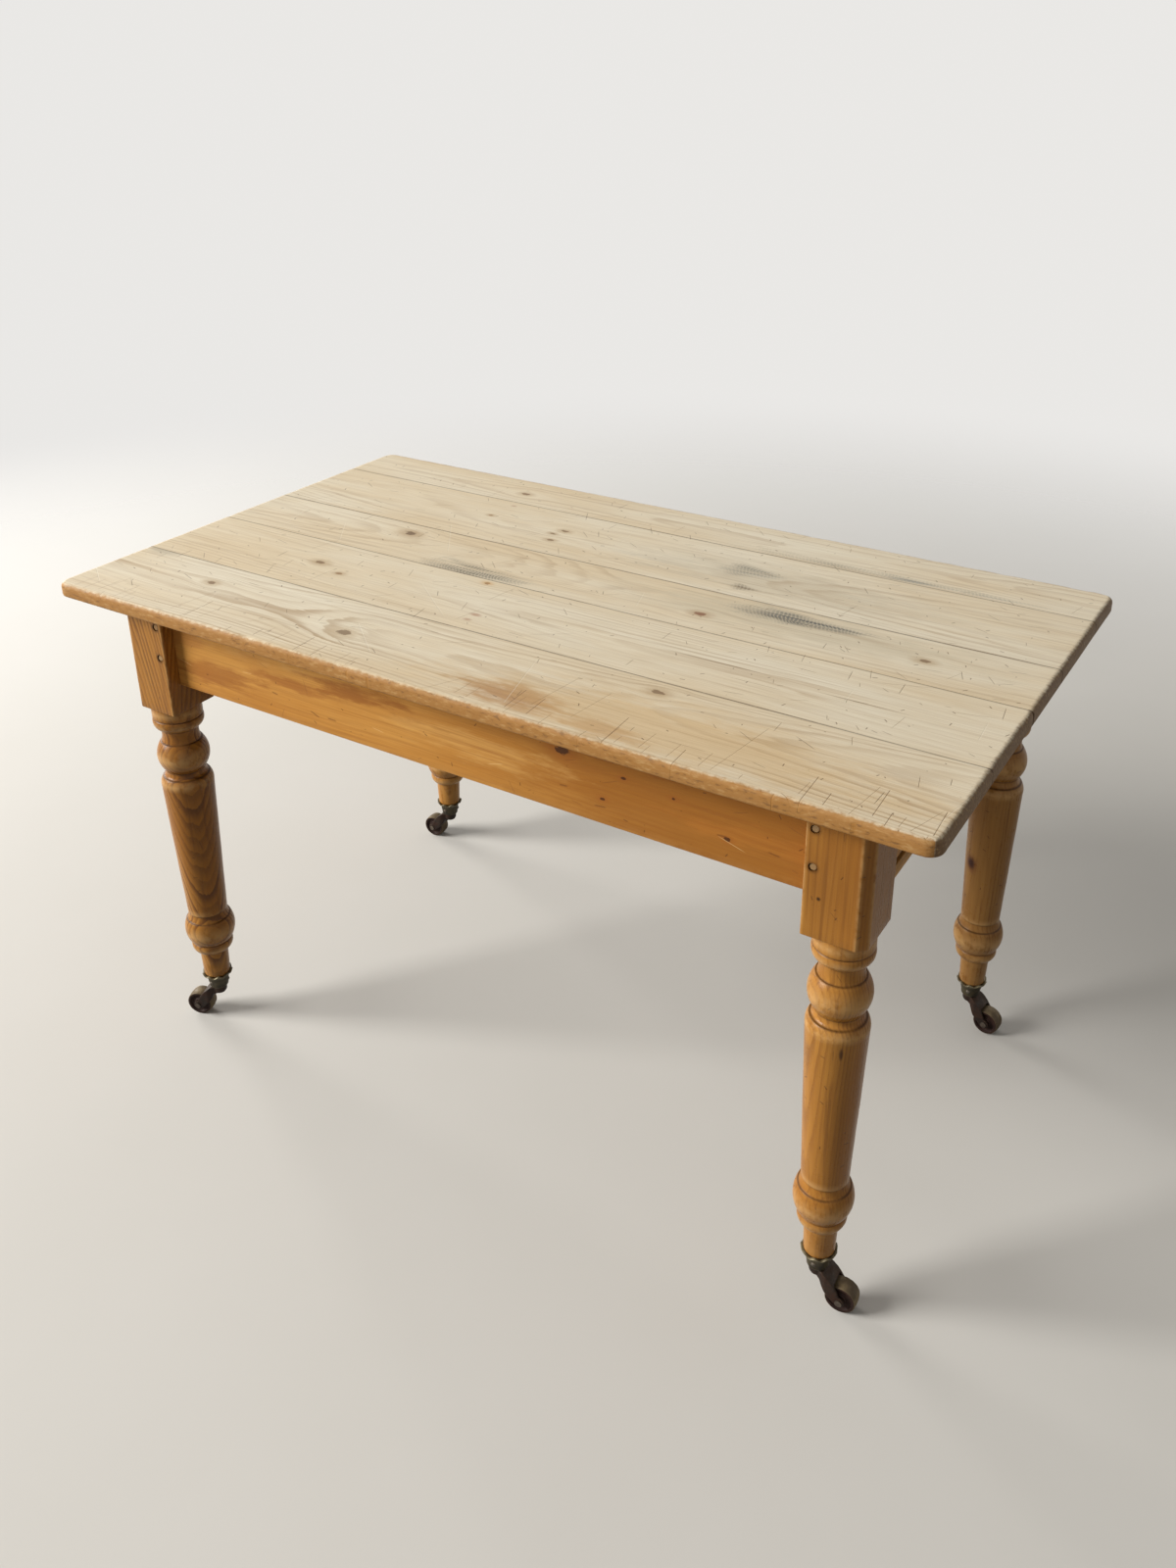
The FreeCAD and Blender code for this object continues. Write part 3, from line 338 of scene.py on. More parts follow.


# Old pine: rings, knots, blots, cuts, frayed edges, wear, and grime with painted shade, in this order
def pineMaterial(name, look):
    look = {**barePine, **look}
    material, tree, shader, place = startMaterial(name)
    point = grainPoint(tree, place, look["turn"])
    flow = point
    knots = []
    for spotX, spotY, size, pull, *shades in look["knots"]:
        knot = placeGroup(tree, "knotFlow", {"Point": flow, "Spot": (spotX, spotY, 0.0), "Size": size,
                                             "Pull": pull})
        flow = knot["Point"]
        knots.append((knot, *(shades or look["knotShades"])))
    figure = placeGroup(tree, "pineFigure", {
        "Point": flow, "Pith": look["pith"], "Lean": look["lean"], "Seed": look["seed"],
        "Ring Gap": look["ringGap"], "Sway": look["sway"], "Soft": look["soft"], "Patchy": look["patchy"]})
    colour = tint(tree, figure["Cloud"], look["pale"], look["deep"])
    colour = layBlots(tree, colour, point, look["washes"])
    for part in ("late", "fibre", "streak"):
        colour = lay(tree, colour, look[part], figure[part.title()], look[part + "Amount"])
    for knot, core, halo in knots:
        colour = lay(tree, colour, halo, knot["Halo"], look["haloAmount"])
    for knot, core, halo in knots:
        colour = lay(tree, colour, core, knot["Core"], look["knotAmount"])
    colour = layBlots(tree, colour, point, look["blots"])
    for spot, spread, shade, amount in look["feathers"]:
        colour = lay(tree, colour, shade, featherMask(tree, flow, spot, spread), amount)
    height = calc(tree, "ADD", times(tree, figure["Late"], 0.25), times(tree, figure["Fibre"], -0.35))
    for kind, (group, names, depth) in cutKinds.items():
        for *values, shade, amount in look[kind]:
            cut = placeGroup(tree, group, {"Point": point, **dict(zip(names, values))})["Mask"]
            colour = lay(tree, colour, shade, cut, amount)
            height = calc(tree, "SUBTRACT", height, times(tree, cut, depth))
    for label, shade, amount in look["edges"]:
        mottle = grainNoise(tree, place, (90.0, 260.0, 260.0), 3.0, 0.6)
        shade = tint(tree, stretch(tree, mottle, 0.5, 0.75, 0.0, 0.45), shade, look["scuffed"])
        shade = tint(tree, stretch(tree, mottle, 0.45, 0.3, 0.0, 0.6), shade, look["crumb"])
        colour = lay(tree, colour, shade, frayedEdge(tree, place, label), amount)
    scuff = grainNoise(tree, place, (60.0, 60.0, 60.0), 4.0, 0.6)
    worn = times(tree, mark(tree, "wearAndSheen"), stretch(tree, scuff, 0.3, 0.6))
    colour = lay(tree, colour, look["worn"], worn, look["wornAmount"])
    # the grime mark holds real dirt and painted shade in creases, recesses and under the top
    dirtAndShade = times(tree, mark(tree, "grimeAndShade"), stretch(tree, scuff, 0.1, 0.5, 0.6, 1.0))
    colour = lay(tree, colour, look["grimeAndShade"], dirtAndShade, look["grimeAndShadeAmount"])
    speck = put(tree, "TexVoronoi", {"Vector": place, "Scale": 85.0}, feature="F1")
    dot = times(tree, stretch(tree, speck.outputs["Distance"], 0.09, 0.04),
                calc(tree, "GREATER_THAN", chances(tree, speck)["Red"], 0.86))
    colour = lay(tree, colour, look["grimeAndShade"], dot, look["speckAmount"])
    gloss = calc(tree, "ADD", look["rough"], times(tree, scuff, 0.22))
    gloss = calc(tree, "ADD", gloss, times(tree, dirtAndShade, 0.2))
    gloss = calc(tree, "SUBTRACT", gloss, times(tree, figure["Late"], 0.08), clamp=True)
    wire(tree, shader.inputs, {"Base Color": colour, "Roughness": gloss, "Specular IOR Level": look["shine"],
                               "Normal": bumped(tree, height, look["bump"], 0.0006)})
    return material


# Mesh helpers

def linked(name, bm):  # the mesh as an object of the scene
    mesh = bpy.data.meshes.new(name)
    bm.to_mesh(mesh)
    bm.free()
    thing = bpy.data.objects.new(name, mesh)
    bpy.context.scene.collection.objects.link(thing)
    return thing


def addPiece(name, bm, material, body, node, smooth=True):
    piece = linked(name, bm)
    mesh = piece.data
    if smooth:
        mesh.polygons.foreach_set("use_smooth", [True] * len(mesh.polygons))
        mesh.set_sharp_from_angle(angle=math.radians(38))
    mesh.materials.append(material)
    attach(piece, body)
    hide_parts(node)


def reshaped(bm, kind, **settings):  # what a modifier makes of the mesh
    blank = linked("blank", bm)
    step = blank.modifiers.new("step", kind)
    for key, value in settings.items():
        setattr(step, key, value)
    view = bpy.context.evaluated_depsgraph_get()
    result = bmesh.new()
    result.from_mesh(blank.evaluated_get(view).to_mesh())
    bpy.data.objects.remove(blank)
    return result


def slab(low, high):
    bm = bmesh.new()
    bmesh.ops.create_cube(bm, size=1.0)
    bmesh.ops.scale(bm, verts=bm.verts, vec=Vector(high) - Vector(low))
    bmesh.ops.translate(bm, verts=bm.verts, vec=(Vector(low) + Vector(high)) / 2)
    return bm


def soften(bm, edges, radius, steps=3):
    bmesh.ops.bevel(bm, geom=list(edges), offset=radius, offset_type="OFFSET", affect="EDGES",
                    segments=steps, profile=0.5, material=-1, clamp_overlap=True)


def sliceAt(bm, axis, place):
    normal = Vector(origin)
    normal[axis] = 1
    bmesh.ops.bisect_plane(bm, geom=bm.verts[:] + bm.edges[:] + bm.faces[:], plane_co=normal * place,
                           plane_no=normal)


def sliceAlong(bm, axis, low, high, step):
    count = max(1, round((high - low) / step))
    for index in range(1, count):
        sliceAt(bm, axis, low + (high - low) * index / count)


def edgesWhere(bm, test):
    return [edge for edge in bm.edges if test((edge.verts[0].co + edge.verts[1].co) / 2,
                                              (edge.verts[1].co - edge.verts[0].co).normalized())]


def addMarks(bm, *labels):
    return [bm.verts.layers.float.new(label) for label in labels]


def ripple(point, scale, seed=0.0):
    return noise.noise((point.x * scale + seed, point.y * scale - seed, point.z * scale + seed * 0.7))


def fade(distance, width):  # 1 at no distance, 0 from this width on
    return max(0.0, 1 - distance / width)


# Top boards

topLook = {
    "round": 0.018, "arris": 0.006, "underArris": 0.003, "jointArris": 0.0007, "jointGap": 0.0002,
    "sliceX": 0.014, "sliceY": 0.018, "rimSlices": (0.008, 0.013), "jointSlices": (0.0018, 0.004),
    "dish": 0.00035, "dishRamp": 0.04, "wave": 0.00025, "chip": 0.00352, "chipBand": 0.008,
    "wander": 0.0005, "wanderBand": 0.007, "wearAndSheen": 0.3, "wearBand": 0.011, "jointDirt": 0.0016,
    "honeyBand": 0.0075, "honeyDrop": 0.004, "honeyFade": 0.014, "shadedEndBand": 0.012, "undersideShade": 0.25,
}
knotCore = tone(122, 94, 66)
knotHalo = tone(178, 148, 108)
topShared = {
    "turn": "x", "pale": tone(240, 230, 207), "deep": tone(230, 211, 178), "late": tone(164, 131, 90),
    "lateAmount": 0.38, "soft": 0.4, "patchy": 0.85, "fibre": tone(176, 148, 108), "fibreAmount": 0.26,
    "streak": tone(150, 116, 74), "streakAmount": 0.2,
    "worn": tone(226, 204, 160), "wornAmount": 0.45, "grimeAndShade": tone(64, 49, 35), "grimeAndShadeAmount": 0.75,
    "rough": 0.46, "shine": 0.15, "bump": 0.35, "speckAmount": 0.4, "knotAmount": 0.75,
    "knotShades": (knotCore, knotHalo),
    # the end edge's colour is painted shade
    "edges": [("frontEdge", tone(164, 114, 54), 0.95), ("shadedEndEdge", tone(116, 88, 60), 0.95)],
    "scuffed": tone(206, 168, 112), "crumb": tone(96, 62, 28),
    "scratches": [(0.045, 0.013, 0.0006, 0.38, 0.6, 2.2, tone(126, 102, 74), 0.65),
                  (0.085, 0.034, 0.0005, 0.45, -0.7, 1.6, tone(150, 124, 90), 0.65),
                  (0.062, 0.016, 0.0008, 0.2, 1.0, 1.4, tone(112, 92, 70), 0.6),
                  (0.030, 0.0035, 0.0010, 0.35, 0.0, 6.0, tone(112, 86, 60), 0.75),
                  (0.16, 0.07, 0.0005, 0.4, 1.2, 1.2, tone(236, 226, 206), 0.55)],
}
topBoards = {
    "front": {
        "pith": (0.0, -0.262, 0.58), "lean": (0.0, 0.012, 0.02), "ringGap": 0.0029, "sway": 0.035,
        "seed": (1.3, 0.2, 0.42), "lateAmount": 0.6, "patchy": 0.7,
        "knots": [(-0.448, -0.2455, 0.008, 0.7),
                  (-0.180, -0.2768, 0.012, 0.6, tone(122, 98, 72), tone(188, 160, 120)),
                  (0.246, -0.2161, 0.009, 0.7)],
        "washes": [((0.11, -0.312, topLevel), (0.10, 0.036, 0.08), 1.8, tone(156, 92, 44), 0.85),
                   ((0.24, -0.325, topLevel), (0.08, 0.022, 0.08), 1.8, tone(170, 112, 62), 0.6),
                   ((0.30, -0.30, topLevel), (0.42, 0.09, 0.1), 1.0, tone(218, 182, 126), 0.6)],
        "blots": [((-0.60, -0.186, topLevel), (0.05, 0.03, 0.05), 0.8, tone(150, 142, 124), 0.4)],
        "cuts": [(0.034, -0.357, 0.075, 0.05, 0.0008, tone(120, 88, 56), 0.6),
                 (0.019, -0.352, 0.05, -0.03, 0.0006, tone(136, 104, 68), 0.5),
                 (0.061, -0.35, 0.13, -0.12, 0.0006, tone(140, 108, 72), 0.45)],
    },
    "second": {
        "pith": (0.0, -0.125, 0.635), "lean": (0.0, -0.02, 0.012), "ringGap": 0.0034, "sway": 0.03,
        "seed": (4.1, 0.9, 0.22),
        "knots": [(-0.3725, -0.1100, 0.009, 0.75),
                  (-0.3215, -0.1270, 0.006, 0.6, tone(140, 104, 66), knotHalo),
                  (-0.1215, -0.0500, 0.005, 0.5, tone(160, 116, 66), tone(206, 160, 96))],
        "blots": [((-0.0695, -0.1453, topLevel), (0.012, 0.006, 0.02), 0.9, tone(160, 92, 60), 0.5),
                  ((-0.0695, -0.1636, topLevel), (0.010, 0.005, 0.02), 0.9, tone(160, 92, 60), 0.45),
                  ((0.27, -0.11, topLevel), (0.09, 0.0022, 0.02), 0.5, tone(130, 98, 64), 0.6),
                  ((0.466, -0.12, topLevel), (0.07, 0.0022, 0.02), 0.5, tone(130, 98, 64), 0.6)],
    },
    "middle": {
        "pith": (0.0, 0.03, 0.61), "lean": (0.0, 0.015, -0.03), "ringGap": 0.0037, "sway": 0.035,
        "seed": (7.7, 2.0, 0.62),
        "knots": [(-0.3387, 0.0510, 0.012, 0.85, tone(98, 72, 48), tone(168, 136, 96)),
                  (0.1808, 0.0085, 0.009, 0.75, tone(128, 78, 52), tone(176, 142, 104)),
                  (0.4830, 0.0237, 0.008, 0.7)],
        "washes": [((0.30, 0.04, topLevel), (0.34, 0.06, 0.1), 1.5, tone(212, 201, 176), 0.6)],
        "feathers": [((-0.152, -0.024, topLevel), (0.12, 0.030, 0.05), tone(104, 100, 90), 0.8),
                     ((0.31, 0.057, topLevel), (0.125, 0.026, 0.05), tone(84, 88, 88), 0.9)],
    },
    "fourth": {
        "pith": (0.0, 0.17, 0.57), "lean": (0.0, -0.015, 0.03), "ringGap": 0.0038, "sway": 0.04,
        "seed": (2.4, 4.2, 1.12),
        "knots": [(-0.1435, 0.1785, 0.007, 0.7), (-0.1535, 0.1643, 0.0055, 0.6),
                  (-0.1415, 0.1360, 0.006, 0.7),
                  (-0.2827, 0.1795, 0.0045, 0.5, tone(150, 112, 72), knotHalo)],
        "washes": [((0.22, 0.16, topLevel), (0.30, 0.07, 0.1), 1.5, tone(210, 200, 178), 0.6)],
        "feathers": [((0.176, 0.177, topLevel), (0.06, 0.03, 0.05), tone(126, 124, 114), 0.7),
                     ((0.191, 0.118, topLevel), (0.026, 0.014, 0.03), tone(92, 76, 58), 0.7)],
        "blots": [((-0.277, 0.234, topLevel), (0.010, 0.005, 0.02), 0.9, tone(160, 100, 70), 0.45)],
    },
    "back": {
        "pith": (0.0, 0.305, 0.64), "lean": (0.0, 0.01, 0.01), "ringGap": 0.0033, "sway": 0.025,
        "seed": (5.9, 1.4, 2.22),
        "knots": [(-0.2947, 0.2928, 0.008, 0.75)],
        "feathers": [((0.36, 0.262, topLevel), (0.30, 0.014, 0.05), tone(138, 132, 116), 0.6),
                     ((0.38, 0.259, topLevel), (0.045, 0.008, 0.03), tone(112, 118, 120), 0.7)],
    },
}


def boardBlank(start, end, sides):  # sides: whether it is an outer one, its place, and the way inwards
    bm = slab(start, end)
    middle = (start.z + end.z) / 2
    for outer, place, _ in sides:
        if outer:
            soften(bm, edgesWhere(bm, lambda mid, run: abs(run.z) > 0.9 and abs(mid.y - place) < 10 * tiny),
                   topLook["round"], 8)

    def onJoint(mid):
        return any(abs(mid.y - place) < 10 * tiny for outer, place, _ in sides if not outer)

    for level, size in ((end.z, topLook["arris"]), (start.z, topLook["underArris"])):
        soften(bm, edgesWhere(bm, lambda mid, run: abs(mid.z - level) < tiny and not onJoint(mid)), size, 4)
    soften(bm, edgesWhere(bm, lambda mid, run: abs(run.x) > 0.99 and onJoint(mid)
                          and abs(mid.z - middle) > 0.009), topLook["jointArris"], 2)
    for outer, place, inward in sides:
        for inset in topLook["rimSlices"] if outer else topLook["jointSlices"]:
            sliceAt(bm, 1, place + inset * inward)
    for inset in topLook["rimSlices"]:
        sliceAt(bm, 0, start.x + inset)
        sliceAt(bm, 0, end.x - inset)
    return bm


def topBoard(label, look):
    low, high = boxOf("top_board_" + label)
    atFront, atBack = label == "front", label == "back"
    start, end = low.copy(), high.copy()
    start.y += 0 if atFront else topLook["jointGap"]
    end.y -= 0 if atBack else topLook["jointGap"]
    bm = boardBlank(start, end, ((atFront, start.y, 1), (atBack, end.y, -1)))
    sliceAlong(bm, 1, low.y, high.y, topLook["sliceY"])
    sliceAlong(bm, 0, low.x, high.x, topLook["sliceX"])
    bmesh.ops.remove_doubles(bm, verts=bm.verts, dist=tiny)
    wearAndSheen, grimeAndShade, frontEdge, shadedEndEdge = addMarks(bm, "wearAndSheen", "grimeAndShade", "frontEdge", "shadedEndEdge")
    middle = (low.y + high.y) / 2
    for vert in bm.verts:
        spot = vert.co.copy()
        fromEnd = high.x - abs(spot.x)
        fromFront = spot.y + topHalfDepth if atFront else math.inf
        fromBack = topHalfDepth - spot.y if atBack else math.inf
        rim = min(fromEnd, fromFront, fromBack)
        joint = min(math.inf if atFront else spot.y - start.y, math.inf if atBack else end.y - spot.y)
        upper = max(0.0, (spot.z - start.z) / (end.z - start.z))
        vert[wearAndSheen] = fade(rim, topLook["wearBand"]) * upper ** 9 * topLook["wearAndSheen"]
        honey = 0.0
        if rim < topLook["honeyBand"]:
            honey = min(1.0, 0.3 + (high.z - spot.z) / topLook["honeyDrop"])
        honey = max(0.0, honey, 0.5 * fade(rim, topLook["honeyFade"]))
        # painted shade: the right end's edge takes its own darker colour, and the edge tint deepens toward
        # the right
        onEnd = spot.x > 0 and fromEnd < min(rim + 0.002, topLook["shadedEndBand"])
        vert[shadedEndEdge if onEnd else frontEdge] = honey * (0.86 + 0.14 * spot.x / high.x)
        vert[grimeAndShade] = fade(max(joint, 0), topLook["jointDirt"]) * 0.9
        # painted shade: the boards' undersides are darkened
        if upper < 0.5 and rim > 0.004:
            vert[grimeAndShade] = max(vert[grimeAndShade], topLook["undersideShade"])
        chip = max(0.0, ripple(spot, 38.0, middle * 50) - 0.18) * topLook["chip"]
        chip *= fade(rim, topLook["chipBand"]) * upper
        vert.co.z -= chip
        if upper > 0.6:
            hollow = max(0.0, 0.5 + ripple(spot, 3.2, middle * 9)) * min(1.0, rim / topLook["dishRamp"])
            wave = max(0.0, ripple(Vector((spot.x, spot.y * 2, 0)), 14.0, 3.0))
            vert.co.z -= hollow * topLook["dish"] + wave * topLook["wave"]
        band = topLook["wanderBand"]
        if rim < band:
            inward = Vector((-math.copysign(1, spot.x) if fromEnd < band else 0,
                             (fromFront < band) - (fromBack < band), 0))
            wander = (0.5 + 0.5 * ripple(spot, 9.0, 2.0)) * topLook["wander"]
            vert.co += inward * (chip * 0.8 + wander)
    material = pineMaterial("scrubbedPine_" + label, {**topShared, **look})
    addPiece("topBoard_" + label, bm, material, "table", "top_board_" + label)


for label, look in topBoards.items():
    topBoard(label, look)
print("top boards made")


# Aprons, drawer rails and the drawer's front; trim is the length of tenon that stays hidden

frameShape = {
    "arris": 0.0013, "slice": 0.012, "wave": 0.0003, "skin": 0.003, "wornEdge": 0.004, "underTopShade": 0.02,
    "lowDirt": 0.006, "lowDirtWidth": 0.003,
}
frameShared = {
    "pale": tone(206, 150, 74), "deep": tone(188, 124, 46), "late": tone(146, 85, 27), "lateAmount": 0.42,
    "soft": 0.3, "patchy": 0.6, "streak": tone(150, 92, 36), "streakAmount": 0.35,
    "fibre": tone(140, 86, 36), "fibreAmount": 0.28, "worn": tone(222, 176, 112), "wornAmount": 0.55,
    "scratches": [(0.055, 0.012, 0.0005, 0.35, 0.3, 3.0, tone(110, 64, 26), 0.55),
                  (0.034, 0.003, 0.0010, 0.3, 0.0, 6.0, tone(84, 48, 20), 0.7),
                  (0.070, 0.018, 0.0006, 0.4, 0.2, 1.0, tone(232, 192, 130), 0.6),
                  (0.052, 0.008, 0.0016, 0.3, 0.1, 0.8, tone(104, 60, 24), 0.6)],
    "grimeAndShade": tone(46, 28, 14), "grimeAndShadeAmount": 0.85, "rough": 0.34, "shine": 0.18, "bump": 0.25,
    "speckAmount": 0.5, "knotShades": (tone(58, 30, 14), tone(154, 90, 36)),
}
framePieces = {
    "apron_front": {
        "turn": "xUp", "pith": (0.0, 0.68, -0.36), "lean": (0.0, 0.02, 0.03), "ringGap": 0.006,
        "sway": 0.035, "seed": (0.4, 3.32, 1.0), "trim": 0.02, "worn": tone(204, 150, 86),
        "lateAmount": 0.3, "patchy": 0.8,
        # painted shade: the first wash darkens the right half, as the light falls off; the others are the
        # wood's own tone
        "washes": [((0.42, 0.67, apronFace), (0.55, 0.2, 0.2), 0.5, tone(148, 92, 32), 0.78),
                   ((-0.30, 0.705, apronFace), (0.22, 0.03, 0.1), 2.2, tone(218, 168, 98), 0.6),
                   ((0.03, 0.655, apronFace), (0.16, 0.026, 0.1), 2.4, tone(222, 172, 98), 0.55),
                   ((-0.13, 0.675, apronFace), (0.12, 0.016, 0.1), 2.6, tone(150, 90, 34), 0.8),
                   ((0.24, 0.70, apronFace), (0.14, 0.016, 0.1), 2.6, tone(136, 78, 27), 0.8),
                   ((-0.40, 0.64, apronFace), (0.12, 0.02, 0.1), 2.4, tone(158, 98, 40), 0.75),
                   ((0.40, 0.645, apronFace), (0.13, 0.02, 0.1), 2.4, tone(186, 120, 50), 0.5),
                   ((-0.26, 0.66, apronFace), (0.09, 0.012, 0.1), 2.8, tone(162, 100, 42), 0.7),
                   ((-0.47, 0.685, apronFace), (0.07, 0.02, 0.1), 2.8, tone(172, 112, 52), 0.6)],
        "knots": [(0.171, 0.686, 0.011, 0.8), (0.225, 0.638, 0.0042, 0.6), (0.253, 0.674, 0.0036, 0.6),
                  (0.318, 0.667, 0.0036, 0.6), (0.386, 0.637, 0.0044, 0.5)],
    },
    "apron_back": {
        "turn": "xUp", "pith": (0.0, 0.64, 0.37), "lean": (0.0, -0.02, 0.02), "ringGap": 0.0065,
        "sway": 0.04, "seed": (3.4, 1.32, 5.0), "trim": 0.02,
        "knots": [(-0.22, 0.67, 0.011, 0.8), (0.1, 0.635, 0.008, 0.7)],
    },
    "apron_left": {
        "turn": "yUp", "pith": (0.0, 0.63, -0.58), "lean": (0.0, 0.03, 0.02), "ringGap": 0.006,
        "sway": 0.035, "seed": (6.4, 2.32, 0.2), "trim": 0.02, "knots": [(0.08, 0.66, 0.010, 0.8)],
    },
    "drawer_rail_lower": {
        "turn": "y", "pith": (0.0, 0.44, 0.58), "lean": (0.0, 0.02, 0.01), "ringGap": 0.006, "sway": 0.02,
        "seed": (1.1, 0.3, 2.22), "trim": 0.018,
    },
    "drawer_rail_upper": {
        "turn": "y", "pith": (0.0, 0.46, 0.74), "lean": (0.0, 0.02, 0.01), "ringGap": 0.006, "sway": 0.02,
        "seed": (2.1, 1.3, 0.22), "trim": 0.018,
    },
    "drawer_front": {
        "turn": "yUp", "pith": (0.0, 0.67, 0.50), "lean": (0.0, -0.02, 0.02), "ringGap": 0.006, "sway": 0.04,
        "seed": (8.1, 0.32, 3.2), "trim": 0.0, "knots": [(-0.11, 0.68, 0.009, 0.75)],
    },
}


def framePiece(label, look):
    low, high = boxOf(label)
    axis = "xyz".index(look["turn"][0])
    low[axis] += look["trim"]
    high[axis] -= look["trim"]
    bm = slab(low, high)
    soften(bm, bm.edges[:], frameShape["arris"])
    sliceAlong(bm, axis, low[axis], high[axis], frameShape["slice"])
    sliceAlong(bm, 2, low.z, high.z, frameShape["slice"])
    bmesh.ops.remove_doubles(bm, verts=bm.verts, dist=tiny)
    wearAndSheen, grimeAndShade = addMarks(bm, "wearAndSheen", "grimeAndShade")
    for vert in bm.verts:
        spot = vert.co.copy()
        lower = spot.z - low.z
        vert[wearAndSheen] = fade(lower, frameShape["wornEdge"]) * (0.5 + 0.5 * ripple(spot, 20.0))
        lowDirt = fade(abs(lower - frameShape["lowDirt"]), frameShape["lowDirtWidth"])
        # painted shade: a darker band along the top, under the top boards' overhang
        vert[grimeAndShade] = fade(high.z - spot.z, frameShape["underTopShade"]) * 0.45 + lowDirt * 0.2
        wave = abs(ripple(spot, 7.0, 4.0)) * frameShape["wave"]
        for side in {0, 1, 2} - {axis}:  # faces are planed a little hollow, never proud
            if abs(spot[side] - low[side]) < frameShape["skin"]:
                vert.co[side] += wave
            elif abs(spot[side] - high[side]) <= frameShape["skin"]:
                vert.co[side] -= wave
    material = pineMaterial("waxedPine_" + label, {**frameShared, **look})
    body = "drawer" if label == "drawer_front" else "table"
    addPiece(label + "_board", bm, material, body, label)


for label, look in framePieces.items():
    framePiece(label, look)
print("frame boards made")


# Turned legs, in millimetres; a profile's point is radius, height, and the bulge of the line to the next

legShape = {
    "block": 37.5, "blockLow": 562.0, "blockHigh": 722.0, "chamfer": 11.0, "arris": 1.4, "slice": 12.0,
    "faceSlices": (4.0, 8.0, 15.0), "steps": 96, "turnedTop": 561.5, "turnedReach": 34.5,
    "pegHole": 5.2, "pegDepth": 6.0, "pegInset": 10.0, "pegLevels": (697.0, 650.5),
    "profile": [
        (0.0, 65.1, 0.0), (12.4, 65.1, 0.0), (12.4, 74.8, 0.0), (19.4, 85.8, 0.0), (21.2, 131.3, 0.0),
        (24.5, 131.3, 3.0), (30.0, 148.3, 0.0), (28.5, 149.55, 0.0), (30.5, 150.8, 5.5), (32.5, 192.3, 0.0),
        (31.0, 192.3, -0.6), (27.3, 204.3, 0.0), (28.8, 204.3, 0.0), (37.0, 429.5, 1.6), (33.0, 445.5, 0.0),
        (31.5, 445.5, -1.2), (28.0, 453.5, 0.0), (28.0, 456.5, 0.0), (29.0, 456.5, 8.0), (29.0, 502.5, 0.0),
        (27.5, 502.5, -1.2), (26.5, 522.5, 4.0), (35.2, 540.5, 0.0), (33.7, 541.75, 0.0), (35.2, 543.0, 0.0),
        (35.2, 562.0, 0.0), (0.0, 563.0, 0.0),
    ],
    "creaseShadeLines": (131.3, 149.5, 192.3, 204.0, 445.5, 455.0, 502.5, 522.5, 541.7, 562.0), "creaseShadeWidth": 1.6,
    "wornCrests": ((140.0, 9.0), (170.0, 17.0), (208.0, 5.0), (437.0, 9.0), (479.0, 18.0), (532.0, 8.0),
                   (552.0, 8.0)),
    "footTop": 130.0, "wornArris": 3.5, "underTopShade": 16.0, "wave": 0.3, "pith": 4.0,
    "pegRingShade": ((0.0095, 0.0095, 0.0095), 0.25, tone(52, 32, 18), 0.8),
}
legShared = {
    **frameShared, "turn": "z", "pale": tone(186, 131, 58), "deep": tone(158, 102, 38),
    "late": tone(104, 58, 19), "lateAmount": 0.62, "worn": tone(226, 182, 122), "wornAmount": 0.5,
    "rough": 0.2, "grimeAndShadeAmount": 1.0, "streak": tone(112, 68, 28), "streakAmount": 0.45,
    "scratches": [(0.04, 0.010, 0.0005, 0.35, 0.2, 1.4, tone(96, 58, 26), 0.6),
                  (0.026, 0.003, 0.0009, 0.35, 0.0, 6.0, tone(74, 44, 20), 0.7)],
}
legLooks = {
    "front_left": {
        "pith": (0.0, -0.52618, -0.27236), "lean": (0.0, -0.109, 0.087), "ringGap": 0.0046, "sway": 0.012,
        "seed": (0.32, 1.0, 0.2), "late": tone(92, 54, 24), "lateAmount": 0.9, "patchy": 0.2, "soft": 0.05,
    },
    "front_right": {
        "pith": (0.0, 0.60, -0.20), "lean": (0.0, 0.01, 0.008), "ringGap": 0.0042, "sway": 0.012,
        "seed": (2.32, 0.4, 1.2),
        # painted shade: this wash darkens the leg's block under the top
        "washes": [((0.642, 0.5225, -0.288), (0.1, 0.09, 0.09), 0.2, tone(134, 86, 34), 0.5)],
        "blots": [((0.417, 0.541, -0.3205), (0.012, 0.003, 0.010), 0.5, tone(58, 32, 16), 0.8),
                  ((0.614, 0.504, -0.3255), (0.0035, 0.0035, 0.0035), 0.2, tone(40, 24, 14), 0.9)],
    },
    "back_left": {
        "pith": (0.0, -0.45, 0.22), "lean": (0.0, -0.02, 0.015), "ringGap": 0.0055, "sway": 0.015,
        "seed": (4.32, 2.4, 0.2),
    },
    "back_right": {
        "pith": (0.0, 0.60, 0.40), "lean": (0.0, 0.015, -0.01), "ringGap": 0.0052, "sway": 0.015,
        "seed": (6.32, 1.4, 2.2), "pale": tone(172, 126, 66), "deep": tone(142, 97, 44),
        "blots": [((0.31, 0.5054, 0.2769), (0.022, 0.016, 0.016), 0.7, tone(104, 52, 26), 0.7),
                  ((0.31, 0.5054, 0.2769), (0.013, 0.009, 0.010), 0.5, tone(54, 18, 10), 0.9)],
    },
}
longRun = 12.0  # straight runs over this length get wider steps


